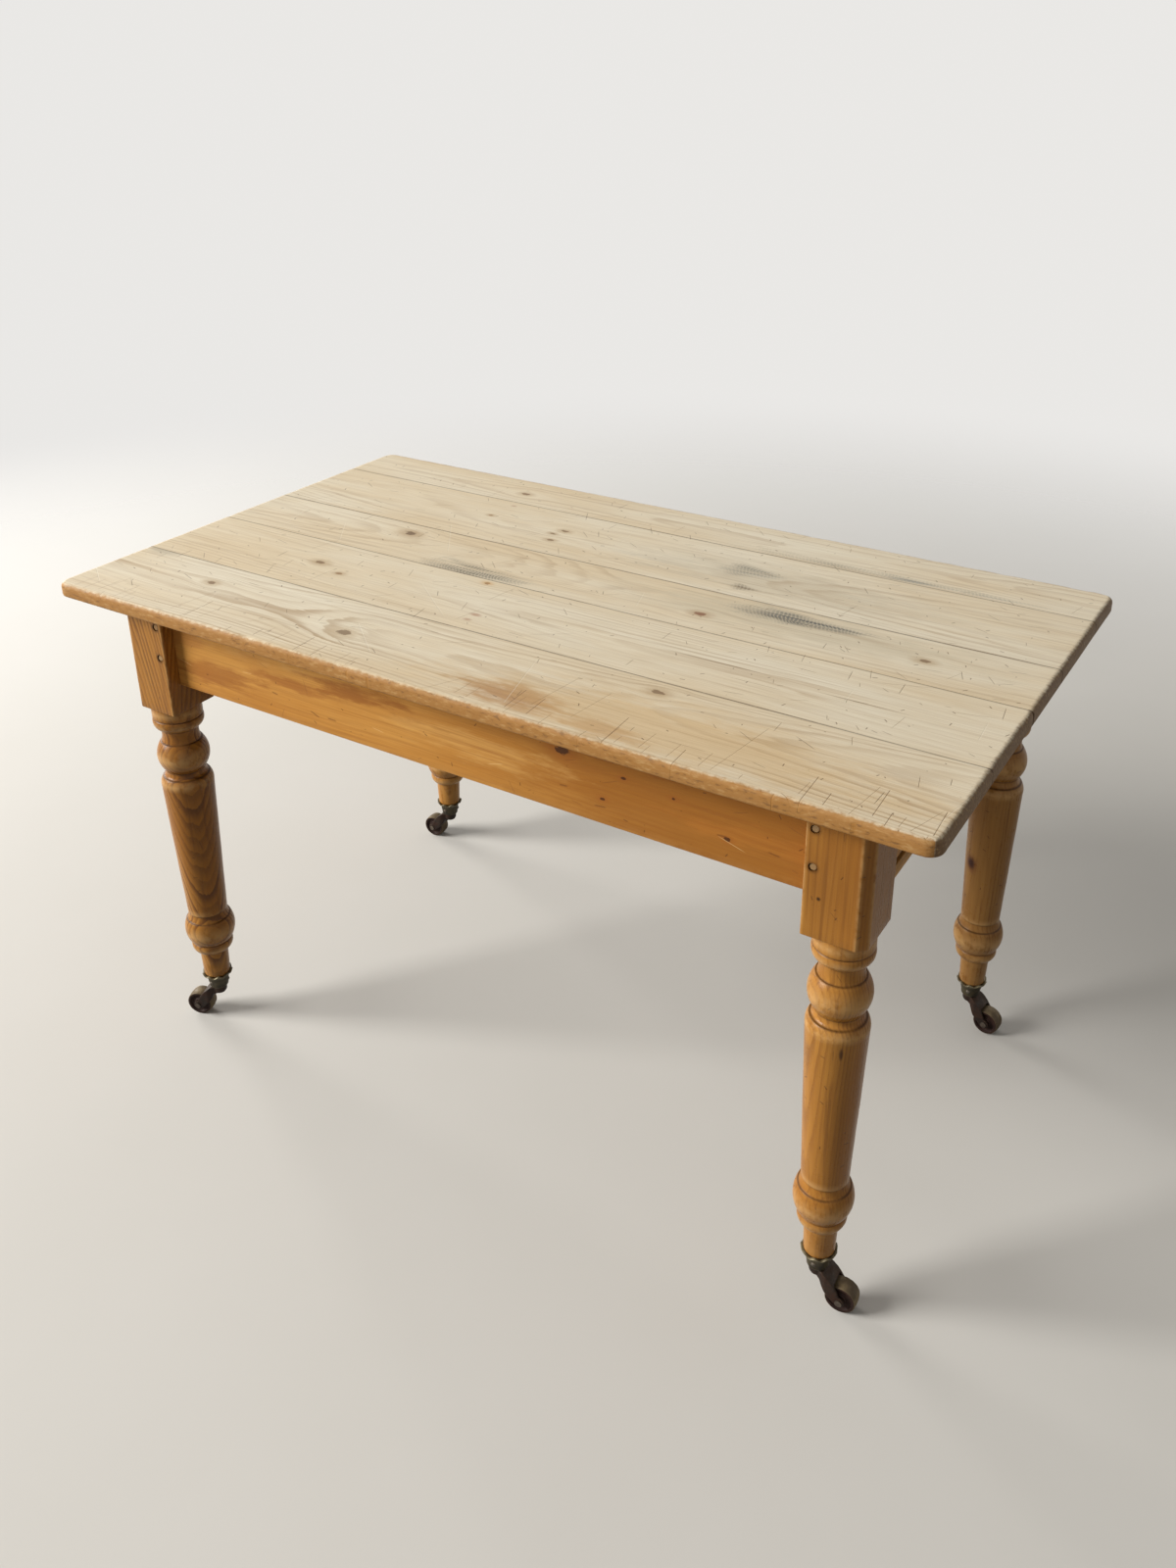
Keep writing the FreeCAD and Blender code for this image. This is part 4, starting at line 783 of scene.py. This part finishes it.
def curveThrough(points, step, straightStep=None):
    line = []
    for (radius, height, bulge), (nextRadius, nextHeight, _) in zip(points, points[1:]):
        start, end = Vector((radius, height)), Vector((nextRadius, nextHeight))
        chord = end - start
        wide = straightStep if straightStep and bulge == 0 and chord.length > longRun else step
        count = max(1, math.ceil((chord.length + abs(bulge)) / wide))
        outward = Vector((chord.y, -chord.x)).normalized()
        shares = [index / count for index in range(count)]
        if wide != step:  # close rings at both ends keep the edge crisp
            shares = [0, 1 / chord.length, 2 / chord.length] + shares[1:] + [1 - 1 / chord.length]
        for share in shares:
            line.append(start + chord * share + outward * bulge * 4 * share * (1 - share))
    line.append(Vector(points[-1][:2]))
    return line


def eased(line, rounds):
    for _ in range(rounds):
        line = [line[0]] + [before * 0.25 + here * 0.5 + after * 0.25
                            for before, here, after in zip(line, line[1:], line[2:])] + [line[-1]]
    return line


def spun(line, steps):
    bm = bmesh.new()
    verts = [bm.verts.new((point.x * millimetre, 0, point.y * millimetre)) for point in line]
    edges = [bm.edges.new(pair) for pair in zip(verts, verts[1:])]
    bmesh.ops.spin(bm, geom=verts + edges, cent=origin, axis=(0, 0, 1), angle=math.tau, steps=steps,
                   use_merge=True)
    bmesh.ops.remove_doubles(bm, verts=bm.verts, dist=tiny)
    bmesh.ops.recalc_face_normals(bm, faces=bm.faces)
    return bm


def addTo(bm, other):
    mesh = bpy.data.meshes.new("joined")
    other.to_mesh(mesh)
    other.free()
    bm.from_mesh(mesh)
    bpy.data.meshes.remove(mesh)


def pegHoles(corner):  # each hole's middle on the leg's face, and the way that the face looks
    x, y, sideX, sideY = legSpots[corner]
    block = legShape["block"] * millimetre
    inner = block - legShape["pegInset"] * millimetre
    spots = []
    for level in legShape["pegLevels"]:
        height = level * millimetre
        spots.append((Vector((x - sideX * inner, y + sideY * block, height)), Vector((0, sideY, 0))))
        if sideX < 0:
            spots.append((Vector((x + sideX * block, y - sideY * inner, height)), Vector((sideX, 0, 0))))
    return spots


def facing(spot, outward):
    return Matrix.Translation(spot) @ outward.to_track_quat("Z", "Y").to_matrix().to_4x4()


def legBlock(corner):
    x, y, sideX, sideY = legSpots[corner]
    half, low, high, chamfer, arris = (legShape[key] * millimetre for key in
                                       ("block", "blockLow", "blockHigh", "chamfer", "arris"))
    bm = slab((-half, -half, low), (half, half, high))
    soften(bm, edgesWhere(bm, lambda mid, run: abs(run.z) > 0.9 and mid.x * sideX > 0 and mid.y * sideY > 0),
           chamfer, 1)
    soften(bm, bm.edges[:], arris)
    for axis in (0, 1):
        for inset in legShape["faceSlices"]:
            sliceAt(bm, axis, half - inset * millimetre)
            sliceAt(bm, axis, inset * millimetre - half)
    sliceAlong(bm, 2, low, high, legShape["slice"] * millimetre)
    bmesh.ops.translate(bm, verts=bm.verts, vec=(x, y, 0))
    drill = bmesh.new()
    radius, depth = legShape["pegHole"] * millimetre, legShape["pegDepth"] * millimetre
    proud = 0.004  # how far the drill stands out of the leg's face
    for spot, outward in pegHoles(corner):
        place = facing(spot - outward * (depth - proud) / 2, outward)
        bmesh.ops.create_cone(drill, cap_ends=True, segments=20, radius1=radius, radius2=radius,
                              depth=depth + proud, matrix=place)
    tool = linked("drill", drill)
    bm = reshaped(bm, "BOOLEAN", object=tool, operation="DIFFERENCE", solver="EXACT", use_self=True)
    bpy.data.objects.remove(tool)
    return bm


def turnedLeg(corner):
    x, y, sideX, sideY = legSpots[corner]
    bm = legBlock(corner)
    turning = spun(eased(curveThrough(legShape["profile"], 1.0, 6.0), 1), legShape["steps"])
    bmesh.ops.translate(turning, verts=turning.verts, vec=(x, y, 0))
    addTo(bm, turning)
    wearAndSheen, grimeAndShade = addMarks(bm, "wearAndSheen", "grimeAndShade")
    for vert in bm.verts:
        spot = vert.co.copy()
        out = Vector((spot.x - x, spot.y - y, 0)) / millimetre
        height = spot.z / millimetre
        if height < legShape["turnedTop"] or out.length < legShape["turnedReach"]:
            # painted shade: the turning's grooves and creases are darkened along these rings
            near = min(abs(height - line) for line in legShape["creaseShadeLines"])
            vert[grimeAndShade] = fade(near, legShape["creaseShadeWidth"]) * 0.7
            vert[wearAndSheen] = max(fade(abs(height - crest), width) for crest, width in legShape["wornCrests"])
            vert[wearAndSheen] = max(vert[wearAndSheen], 0.25 if height < legShape["footTop"] else 0.0)
            if out.length > legShape["pith"]:
                vert.co += out.normalized() * ripple(spot, 22.0, x * 9) * legShape["wave"] * millimetre
        else:
            far, near = max(abs(out.x), abs(out.y)), min(abs(out.x), abs(out.y))
            edge = legShape["block"]
            if out.x * sideX > 0 and out.y * sideY > 0:
                edge -= legShape["chamfer"]
            vert[wearAndSheen] = fade(math.hypot(legShape["block"] - far, edge - near), legShape["wornArris"]) * 0.9
            # painted shade: the block is darkened toward its top, under the top boards
            vert[grimeAndShade] = fade(legShape["blockHigh"] - height, legShape["underTopShade"]) * 0.5
    look = {**legShared, **legLooks[corner]}
    # painted shade: a dark ring round each peg stands for the shade in its sunk hole
    pegRingShades = [((hole.z, hole.x, hole.y), *legShape["pegRingShade"]) for hole, _ in pegHoles(corner)]
    look["blots"] = look.get("blots", []) + pegRingShades
    material = pineMaterial("turnedPine_" + corner, look)
    addPiece("turnedLeg_" + corner, bm, material, "table", "leg_" + corner)


for corner in corners:
    turnedLeg(corner)
print("legs made")


# Pegs: whittled, a little off round, sunk in their holes

pegShape = {"radius": 0.0047, "depth": 0.008, "sunk": 0.0012, "sides": 9, "taper": 0.97, "arris": 0.0009,
            "rimBand": 0.003}
pegLook = {
    **frameShared, "turn": "y", "pith": (0.0, 0.3, 0.2), "ringGap": 0.0016, "sway": 0.01,
    "pale": tone(186, 160, 120), "deep": tone(150, 118, 78), "late": tone(110, 78, 46), "rough": 0.6,
}


def pegHeads():
    groups = {"long_apron_pegs": bmesh.new(), "end_apron_pegs": bmesh.new()}
    radius, depth = pegShape["radius"], pegShape["depth"]
    for corner in corners:
        for index, (spot, outward) in enumerate(pegHoles(corner)):
            bm = groups["long_apron_pegs" if abs(outward.y) > 0.5 else "end_apron_pegs"]
            twist = Matrix.Rotation(index * 1.7 + spot.x * 9, 4, "Z")
            place = facing(spot - outward * (pegShape["sunk"] + depth / 2), outward) @ twist
            made = bmesh.ops.create_cone(bm, cap_ends=True, segments=pegShape["sides"], radius1=radius,
                                         radius2=radius * pegShape["taper"], depth=depth, matrix=place)
            rim = [edge for edge in {edge for vert in made["verts"] for edge in vert.link_edges}
                   if all((end.co - spot).dot(outward) > -pegShape["rimBand"] for end in edge.verts)]
            soften(bm, rim, pegShape["arris"], 2)
    material = pineMaterial("pegPine", pegLook)
    for node, bm in groups.items():
        addPiece(node + "_heads", bm, material, "table", node, smooth=False)


pegHeads()
print("pegs made")


# Castors, with lengths in millimetres: brass cups, iron horns and wheels, steel axles

castorShape = {
    "turns": {"front_left": 200, "front_right": 4, "back_left": 183, "back_right": 352},
    "trail": 34.0, "axleHeight": 20.5, "steps": 72, "voxel": 0.8,
    "cup": [(4.55, 56.8, 0.0), (11.5, 56.8, 1.2), (14.3, 61.8, 0.0), (16.5, 74.8, -1.2), (22.7, 83.8, 0.6),
            (22.7, 85.8, 0.3), (19.5, 85.8, 0.0), (12.5, 74.8, 0.0), (12.5, 60.8, 0.0), (4.55, 60.8, 0.0)],
    "flareLow": 74.8, "flareRise": 11.0, "flareReach": 16.5, "points": 9, "pointDip": 3.4,
    "pointPinch": 0.045,
    "wheel": [(3.05, -10.5, 0.0), (8.0, -10.5, 0.0), (9.25, -8.0, -0.4), (14.25, -8.0, 0.0),
              (15.5, -10.5, 0.0), (18.45, -10.5, 0.5), (19.7, -9.25, 0.8), (19.7, 9.25, 0.5),
              (18.45, 10.5, 0.0), (15.5, 10.5, 0.0), (14.25, 8.0, -0.4), (9.25, 8.0, 0.0), (8.0, 10.5, 0.0),
              (3.05, 10.5, 0.0)],
    "treadLow": 18.2, "treadRise": 1.2,
}
metalLooks = {
    "tarnishedBrass": {
        "grain": 1.0, "base": tone(64, 54, 31), "bloom": tone(38, 33, 23), "rubAndSheenTone": tone(140, 130, 102),
        "pit": tone(26, 22, 15), "rubAll": 0.12, "rubAmount": 0.8, "metal": 0.15, "metalRub": 0.15,
        "rough": 0.45, "shine": 0.3,
    },
    "darkIron": {
        "grain": 1.0, "base": tone(33, 24, 19), "bloom": tone(52, 33, 23), "rubAndSheenTone": tone(104, 86, 70),
        "pit": tone(18, 14, 11), "rubAll": 0.2, "rubAmount": 0.6, "metal": 0.0, "metalRub": 0.2,
        "rough": 0.5, "shine": 0.2,
    },
    "rustyIron": {
        "grain": 1.0, "base": tone(46, 27, 20), "bloom": tone(36, 21, 16), "rubAndSheenTone": tone(132, 115, 86),
        "pit": tone(24, 15, 11), "rubAll": 0.0, "rubAmount": 0.9, "metal": 0.0, "metalRub": 0.1,
        "rough": 0.55, "shine": 0.2,
    },
    "wornSteel": {
        "grain": 1.6, "base": tone(82, 72, 62), "bloom": tone(58, 46, 38), "rubAndSheenTone": tone(140, 128, 114),
        "pit": tone(50, 40, 34), "rubAll": 0.6, "rubAmount": 0.8, "metal": 0.5, "metalRub": 0.3,
        "rough": 0.35, "shine": 0.5,
    },
    "dullSteel": {
        "grain": 1.4, "base": tone(92, 84, 74), "bloom": tone(66, 54, 44), "rubAndSheenTone": tone(150, 142, 130),
        "pit": tone(40, 34, 28), "rubAll": 0.4, "rubAmount": 0.6, "metal": 0.6, "metalRub": 0.3,
        "rough": 0.45, "shine": 0.5,
    },
}


def oldMetal(name, look):
    material, tree, shader, place = startMaterial(name)
    worn = placeGroup(tree, "oldMetal", {"Point": place, "Grain": look["grain"]})
    # the mark is real wear, and on the horns also a painted highlight
    rubbedAndSheen = times(tree, mark(tree, "wearAndSheen"), stretch(tree, worn["Rub"], 0.0, 1.0, 0.5, 1.0))
    rubbedAndSheen = calc(tree, "ADD", rubbedAndSheen, times(tree, worn["Rub"], look["rubAll"]), clamp=True)
    colour = tint(tree, worn["Bloom"], look["base"], look["bloom"])
    colour = lay(tree, colour, look["rubAndSheenTone"], rubbedAndSheen, look["rubAmount"])
    colour = lay(tree, colour, look["pit"], worn["Pits"], 0.7)
    bright = calc(tree, "ADD", times(tree, rubbedAndSheen, look["metalRub"]), look["metal"], clamp=True)
    rough = calc(tree, "ADD", look["rough"], times(tree, worn["Bloom"], 0.25))
    rough = calc(tree, "SUBTRACT", rough, times(tree, rubbedAndSheen, 0.2), clamp=True)
    height = calc(tree, "SUBTRACT", times(tree, worn["Bloom"], 0.5), worn["Pits"])
    wire(tree, shader.inputs, {"Base Color": colour, "Metallic": bright, "Roughness": rough,
                               "Specular IOR Level": look["shine"],
                               "Normal": bumped(tree, height, 0.5, 0.0005)})
    return material


metals = {name: oldMetal(name, look) for name, look in metalLooks.items()}


def roughen(bm, depth, scale, seed):
    bm.normal_update()
    for vert, normal in [(vert, vert.normal.copy()) for vert in bm.verts]:
        vert.co -= normal * depth * millimetre * abs(ripple(vert.co, scale, seed))


def castorCup(corner):
    x, y = legSpots[corner][:2]
    bm = spun(eased(curveThrough(castorShape["cup"], 0.7), 1), castorShape["steps"])
    wearAndSheen, = addMarks(bm, "wearAndSheen")
    for vert in bm.verts:
        bearing = math.atan2(vert.co.y, vert.co.x)
        lift = max(0.0, (vert.co.z / millimetre - castorShape["flareLow"]) / castorShape["flareRise"])
        outer = vert.co.xy.length / millimetre > castorShape["flareReach"]
        vert[wearAndSheen] = lift if outer else 0.0
        if outer and lift > 0:  # the rim is cut in shallow points
            dip = (0.5 - 0.5 * math.cos(bearing * castorShape["points"])) * lift * lift
            vert.co.z -= castorShape["pointDip"] * millimetre * dip
            vert.co.xy *= 1 - castorShape["pointPinch"] * dip
    roughen(bm, 0.3, 240.0, x)
    bmesh.ops.translate(bm, verts=bm.verts, vec=(x, y, 0))
    addPiece("castorCup_" + corner, bm, metals["tarnishedBrass"], "table", "castor_cup_" + corner)


def castorHorn(corner):  # the CAD horn, with its edges softened as a casting's are
    node = "castor_horn_" + corner
    bm = bmesh.new()
    bm.from_mesh(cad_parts[node].data)
    bmesh.ops.remove_doubles(bm, verts=bm.verts, dist=tiny)
    bm = reshaped(bm, "REMESH", mode="VOXEL", voxel_size=castorShape["voxel"] * millimetre)
    for _ in range(3):
        bmesh.ops.smooth_vert(bm, verts=bm.verts, factor=0.5, use_axis_x=True, use_axis_y=True,
                              use_axis_z=True)
    roughen(bm, 0.4, 190.0, legSpots[corner][0])
    bm.normal_update()
    wearAndSheen, = addMarks(bm, "wearAndSheen")
    for vert in bm.verts:
        # painted highlight and rub: the horn's upward faces are made lighter and shinier
        vert[wearAndSheen] = max(0.0, vert.normal.z) * 0.7
    addPiece("castorHorn_" + corner, bm, metals["darkIron"], "castor_" + corner, node)


def onAxle(corner):
    x, y = legSpots[corner][:2]
    turn = math.radians(castorShape["turns"][corner])
    reach = castorShape["trail"] * millimetre
    spot = (x + reach * math.cos(turn), y + reach * math.sin(turn), castorShape["axleHeight"] * millimetre)
    return Matrix.Translation(spot) @ Matrix.Rotation(turn, 4, "Z") @ Matrix.Rotation(-math.pi / 2, 4, "X")


def castorWheel(corner):
    bm = spun(eased(curveThrough(castorShape["wheel"], 0.6), 2), castorShape["steps"])
    wearAndSheen, = addMarks(bm, "wearAndSheen")
    for vert in bm.verts:
        rise = (vert.co.xy.length / millimetre - castorShape["treadLow"]) / castorShape["treadRise"]
        vert[wearAndSheen] = max(0.0, min(1.0, rise))
    roughen(bm, 0.3, 170.0, legSpots[corner][1] * 7)
    bmesh.ops.transform(bm, matrix=onAxle(corner), verts=bm.verts)
    addPiece("castorWheel_" + corner, bm, metals["rustyIron"], "wheel_" + corner, "castor_wheel_" + corner)


def paintNode(node, material):
    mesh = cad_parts[node].data
    mesh.materials.clear()
    mesh.materials.append(material)


for corner in corners:
    castorCup(corner)
    castorHorn(corner)
    castorWheel(corner)
    paintNode("castor_axle_" + corner, metals["wornSteel"])
    paintNode("castor_pin_" + corner, metals["darkIron"])
for node in ("castor_cup_screws", "top_screws"):
    paintNode(node, metals["dullSteel"])
print("castors made")


# Knob, and the bare wood inside

knobShape = {  # in millimetres
    "steps": 64, "wornHeight": 26.0, "wornWidth": 8.0, "dirtWidth": 4.0,
    "profile": [(0.0, -4.0, 0.0), (8.0, -4.0, 0.0), (8.0, 0.0, 0.0), (13.0, 0.0, -1.2), (9.5, 11.0, 1.2),
                (18.0, 22.0, 2.5), (10.0, 32.0, 0.6), (0.0, 32.8, 0.0)],
}
knobLook = {**legShared, "turn": "x", "pith": (0.0, 0.05, 0.64), "ringGap": 0.004, "sway": 0.004}
innerShared = {
    **frameShared, "pale": tone(190, 152, 104), "deep": tone(166, 122, 76), "late": tone(128, 88, 50),
    "lateAmount": 0.55, "fibre": tone(112, 76, 44), "rough": 0.62, "shine": 0.15,
}
innerWoods = {
    "alongX": ({"turn": "xUp", "pith": (0.0, 0.58, 0.3), "ringGap": 0.005, "sway": 0.03,
                "seed": (1.0, 5.0, 2.0)},
               ("drawer_runner_front", "drawer_runner_back", "drawer_guide_front", "drawer_guide_back",
                "drawer_kicker_front", "drawer_kicker_back", "drawer_side_front", "drawer_side_back",
                "rubbed_blocks")),
    "alongY": ({"turn": "yUp", "pith": (0.0, 0.60, 0.2), "ringGap": 0.005, "sway": 0.03,
                "seed": (3.0, 2.0, 6.0)},
               ("cross_rail", "drawer_back", "drawer_stops", "top_dowels")),
    "drawerFloor": ({"turn": "y", "pith": (0.0, 0.33, 0.58), "ringGap": 0.006, "sway": 0.05,
                     "seed": (5.0, 1.0, 3.0)}, ("drawer_bottom",)),
}


def drawerKnob():
    bm = spun(eased(curveThrough(knobShape["profile"], 0.8), 2), knobShape["steps"])
    wearAndSheen, grimeAndShade = addMarks(bm, "wearAndSheen", "grimeAndShade")
    for vert in bm.verts:
        height = vert.co.z / millimetre
        vert[wearAndSheen] = fade(abs(height - knobShape["wornHeight"]), knobShape["wornWidth"])
        vert[grimeAndShade] = fade(height, knobShape["dirtWidth"]) * 0.7
    low, high = boxOf("drawer_front")
    middle = Matrix.Translation((high.x, (low.y + high.y) / 2, (low.z + high.z) / 2))
    bmesh.ops.transform(bm, matrix=middle @ Matrix.Rotation(math.pi / 2, 4, "Y"), verts=bm.verts)
    addPiece("drawerKnob", bm, pineMaterial("knobPine", knobLook), "drawer", "drawer_knob")


drawerKnob()
for label, (look, nodes) in innerWoods.items():
    material = pineMaterial("barePine_" + label, {**innerShared, **look})
    for node in nodes:
        paintNode(node, material)
print("inside made")


# Floor, light and camera

daylight = (1.0, 0.985, 0.96)
stageLook = {
    "floor": tone(214, 211, 205), "floorSpeckle": tone(209, 206, 199), "bounce": tone(120, 118, 114),
    "floorSize": 14.0, "floorFade": (1.4, 4.0), "world": 0.24, "backdrop": 0.82,
}
lampLooks = {
    "key": {"spot": (-7.56, -5.88, 5.0), "aim": (0.0, 0.0, 0.45), "power": 1530.0, "size": 4.6,
            "colour": daylight},
    "window": {"spot": (-4.6, 0.9, 1.5), "aim": (0.4, -0.1, 0.3), "power": 105.0, "size": 1.8,
               "colour": daylight},
    "fill": {"spot": (1.8, -2.6, 1.4), "aim": (0.0, 0.0, 0.4), "power": 3.0, "size": 2.5,
             "colour": (1.0, 0.97, 0.93)},
}
cameraLook = {
    "spot": (0.93698, -1.43652, 1.45576), "turn": 30.7071, "tip": 24.5125, "roll": 0.1585, "sensor": 36.0,
    "lens": 31.0946, "shift": (-0.02873, -0.09593),
}


def shownRays(tree):  # what the camera, metal and gloss see, but not what lights the table
    rays = put(tree, "LightPath").outputs
    shown = calc(tree, "MAXIMUM", rays["Is Camera Ray"], rays["Is Glossy Ray"])
    return calc(tree, "MAXIMUM", shown, rays["Is Transmission Ray"])


def makeFloor():
    bm = bmesh.new()
    bmesh.ops.create_grid(bm, x_segments=1, y_segments=1, size=stageLook["floorSize"])
    floor = linked("floor", bm)
    material, tree, shader, place = startMaterial("paleFloor")
    speckle = grainNoise(tree, place, (3.0, 3.0, 3.0), 5.0)
    pale = tint(tree, speckle, stageLook["floor"], stageLook["floorSpeckle"])
    pale = tint(tree, shownRays(tree), stageLook["bounce"], pale)
    wire(tree, shader.inputs, {"Base Color": pale, "Roughness": 0.9})
    far = stretch(tree, vector(tree, "LENGTH", place), *stageLook["floorFade"])
    clear = put(tree, "BsdfTransparent").outputs[0]
    mixed = put(tree, "MixShader", {0: far, 1: shader.outputs[0], 2: clear}).outputs[0]
    out = next(node for node in tree.nodes if node.type == "OUTPUT_MATERIAL")
    wire(tree, out.inputs, {"Surface": mixed})
    floor.data.materials.append(material)


def makeWorld():
    world = bpy.data.worlds.new("studio")
    bpy.context.scene.world = world
    world.use_nodes = True
    tree = world.node_tree
    strength = stretch(tree, shownRays(tree), 0.0, 1.0, stageLook["world"], stageLook["backdrop"])
    wire(tree, tree.nodes["Background"].inputs, {"Color": (*daylight, 1.0), "Strength": strength})


def addLamp(name, look):
    lamp = bpy.data.lights.new(name, "AREA")
    lamp.energy = look["power"]
    lamp.size = look["size"]
    lamp.color = look["colour"]
    thing = bpy.data.objects.new(name, lamp)
    thing.location = look["spot"]
    thing.rotation_mode = "QUATERNION"
    thing.rotation_quaternion = (Vector(look["aim"]) - Vector(look["spot"])).to_track_quat("-Z", "Y")
    bpy.context.scene.collection.objects.link(thing)


def addCamera():
    camera = bpy.data.cameras.new("camera")
    camera.sensor_width = cameraLook["sensor"]
    camera.lens = cameraLook["lens"]
    camera.shift_x, camera.shift_y = cameraLook["shift"]
    thing = bpy.data.objects.new("camera", camera)
    thing.matrix_world = (Matrix.Translation(cameraLook["spot"])
                          @ Matrix.Rotation(math.radians(cameraLook["turn"]), 4, "Z")
                          @ Matrix.Rotation(math.radians(90 - cameraLook["tip"]), 4, "X")
                          @ Matrix.Rotation(math.radians(cameraLook["roll"]), 4, "Z"))
    bpy.context.scene.collection.objects.link(thing)
    bpy.context.scene.camera = thing


makeFloor()
makeWorld()
for name, look in lampLooks.items():
    addLamp(name, look)
addCamera()
bpy.context.scene.view_settings.view_transform = "Standard"
print("stage made")
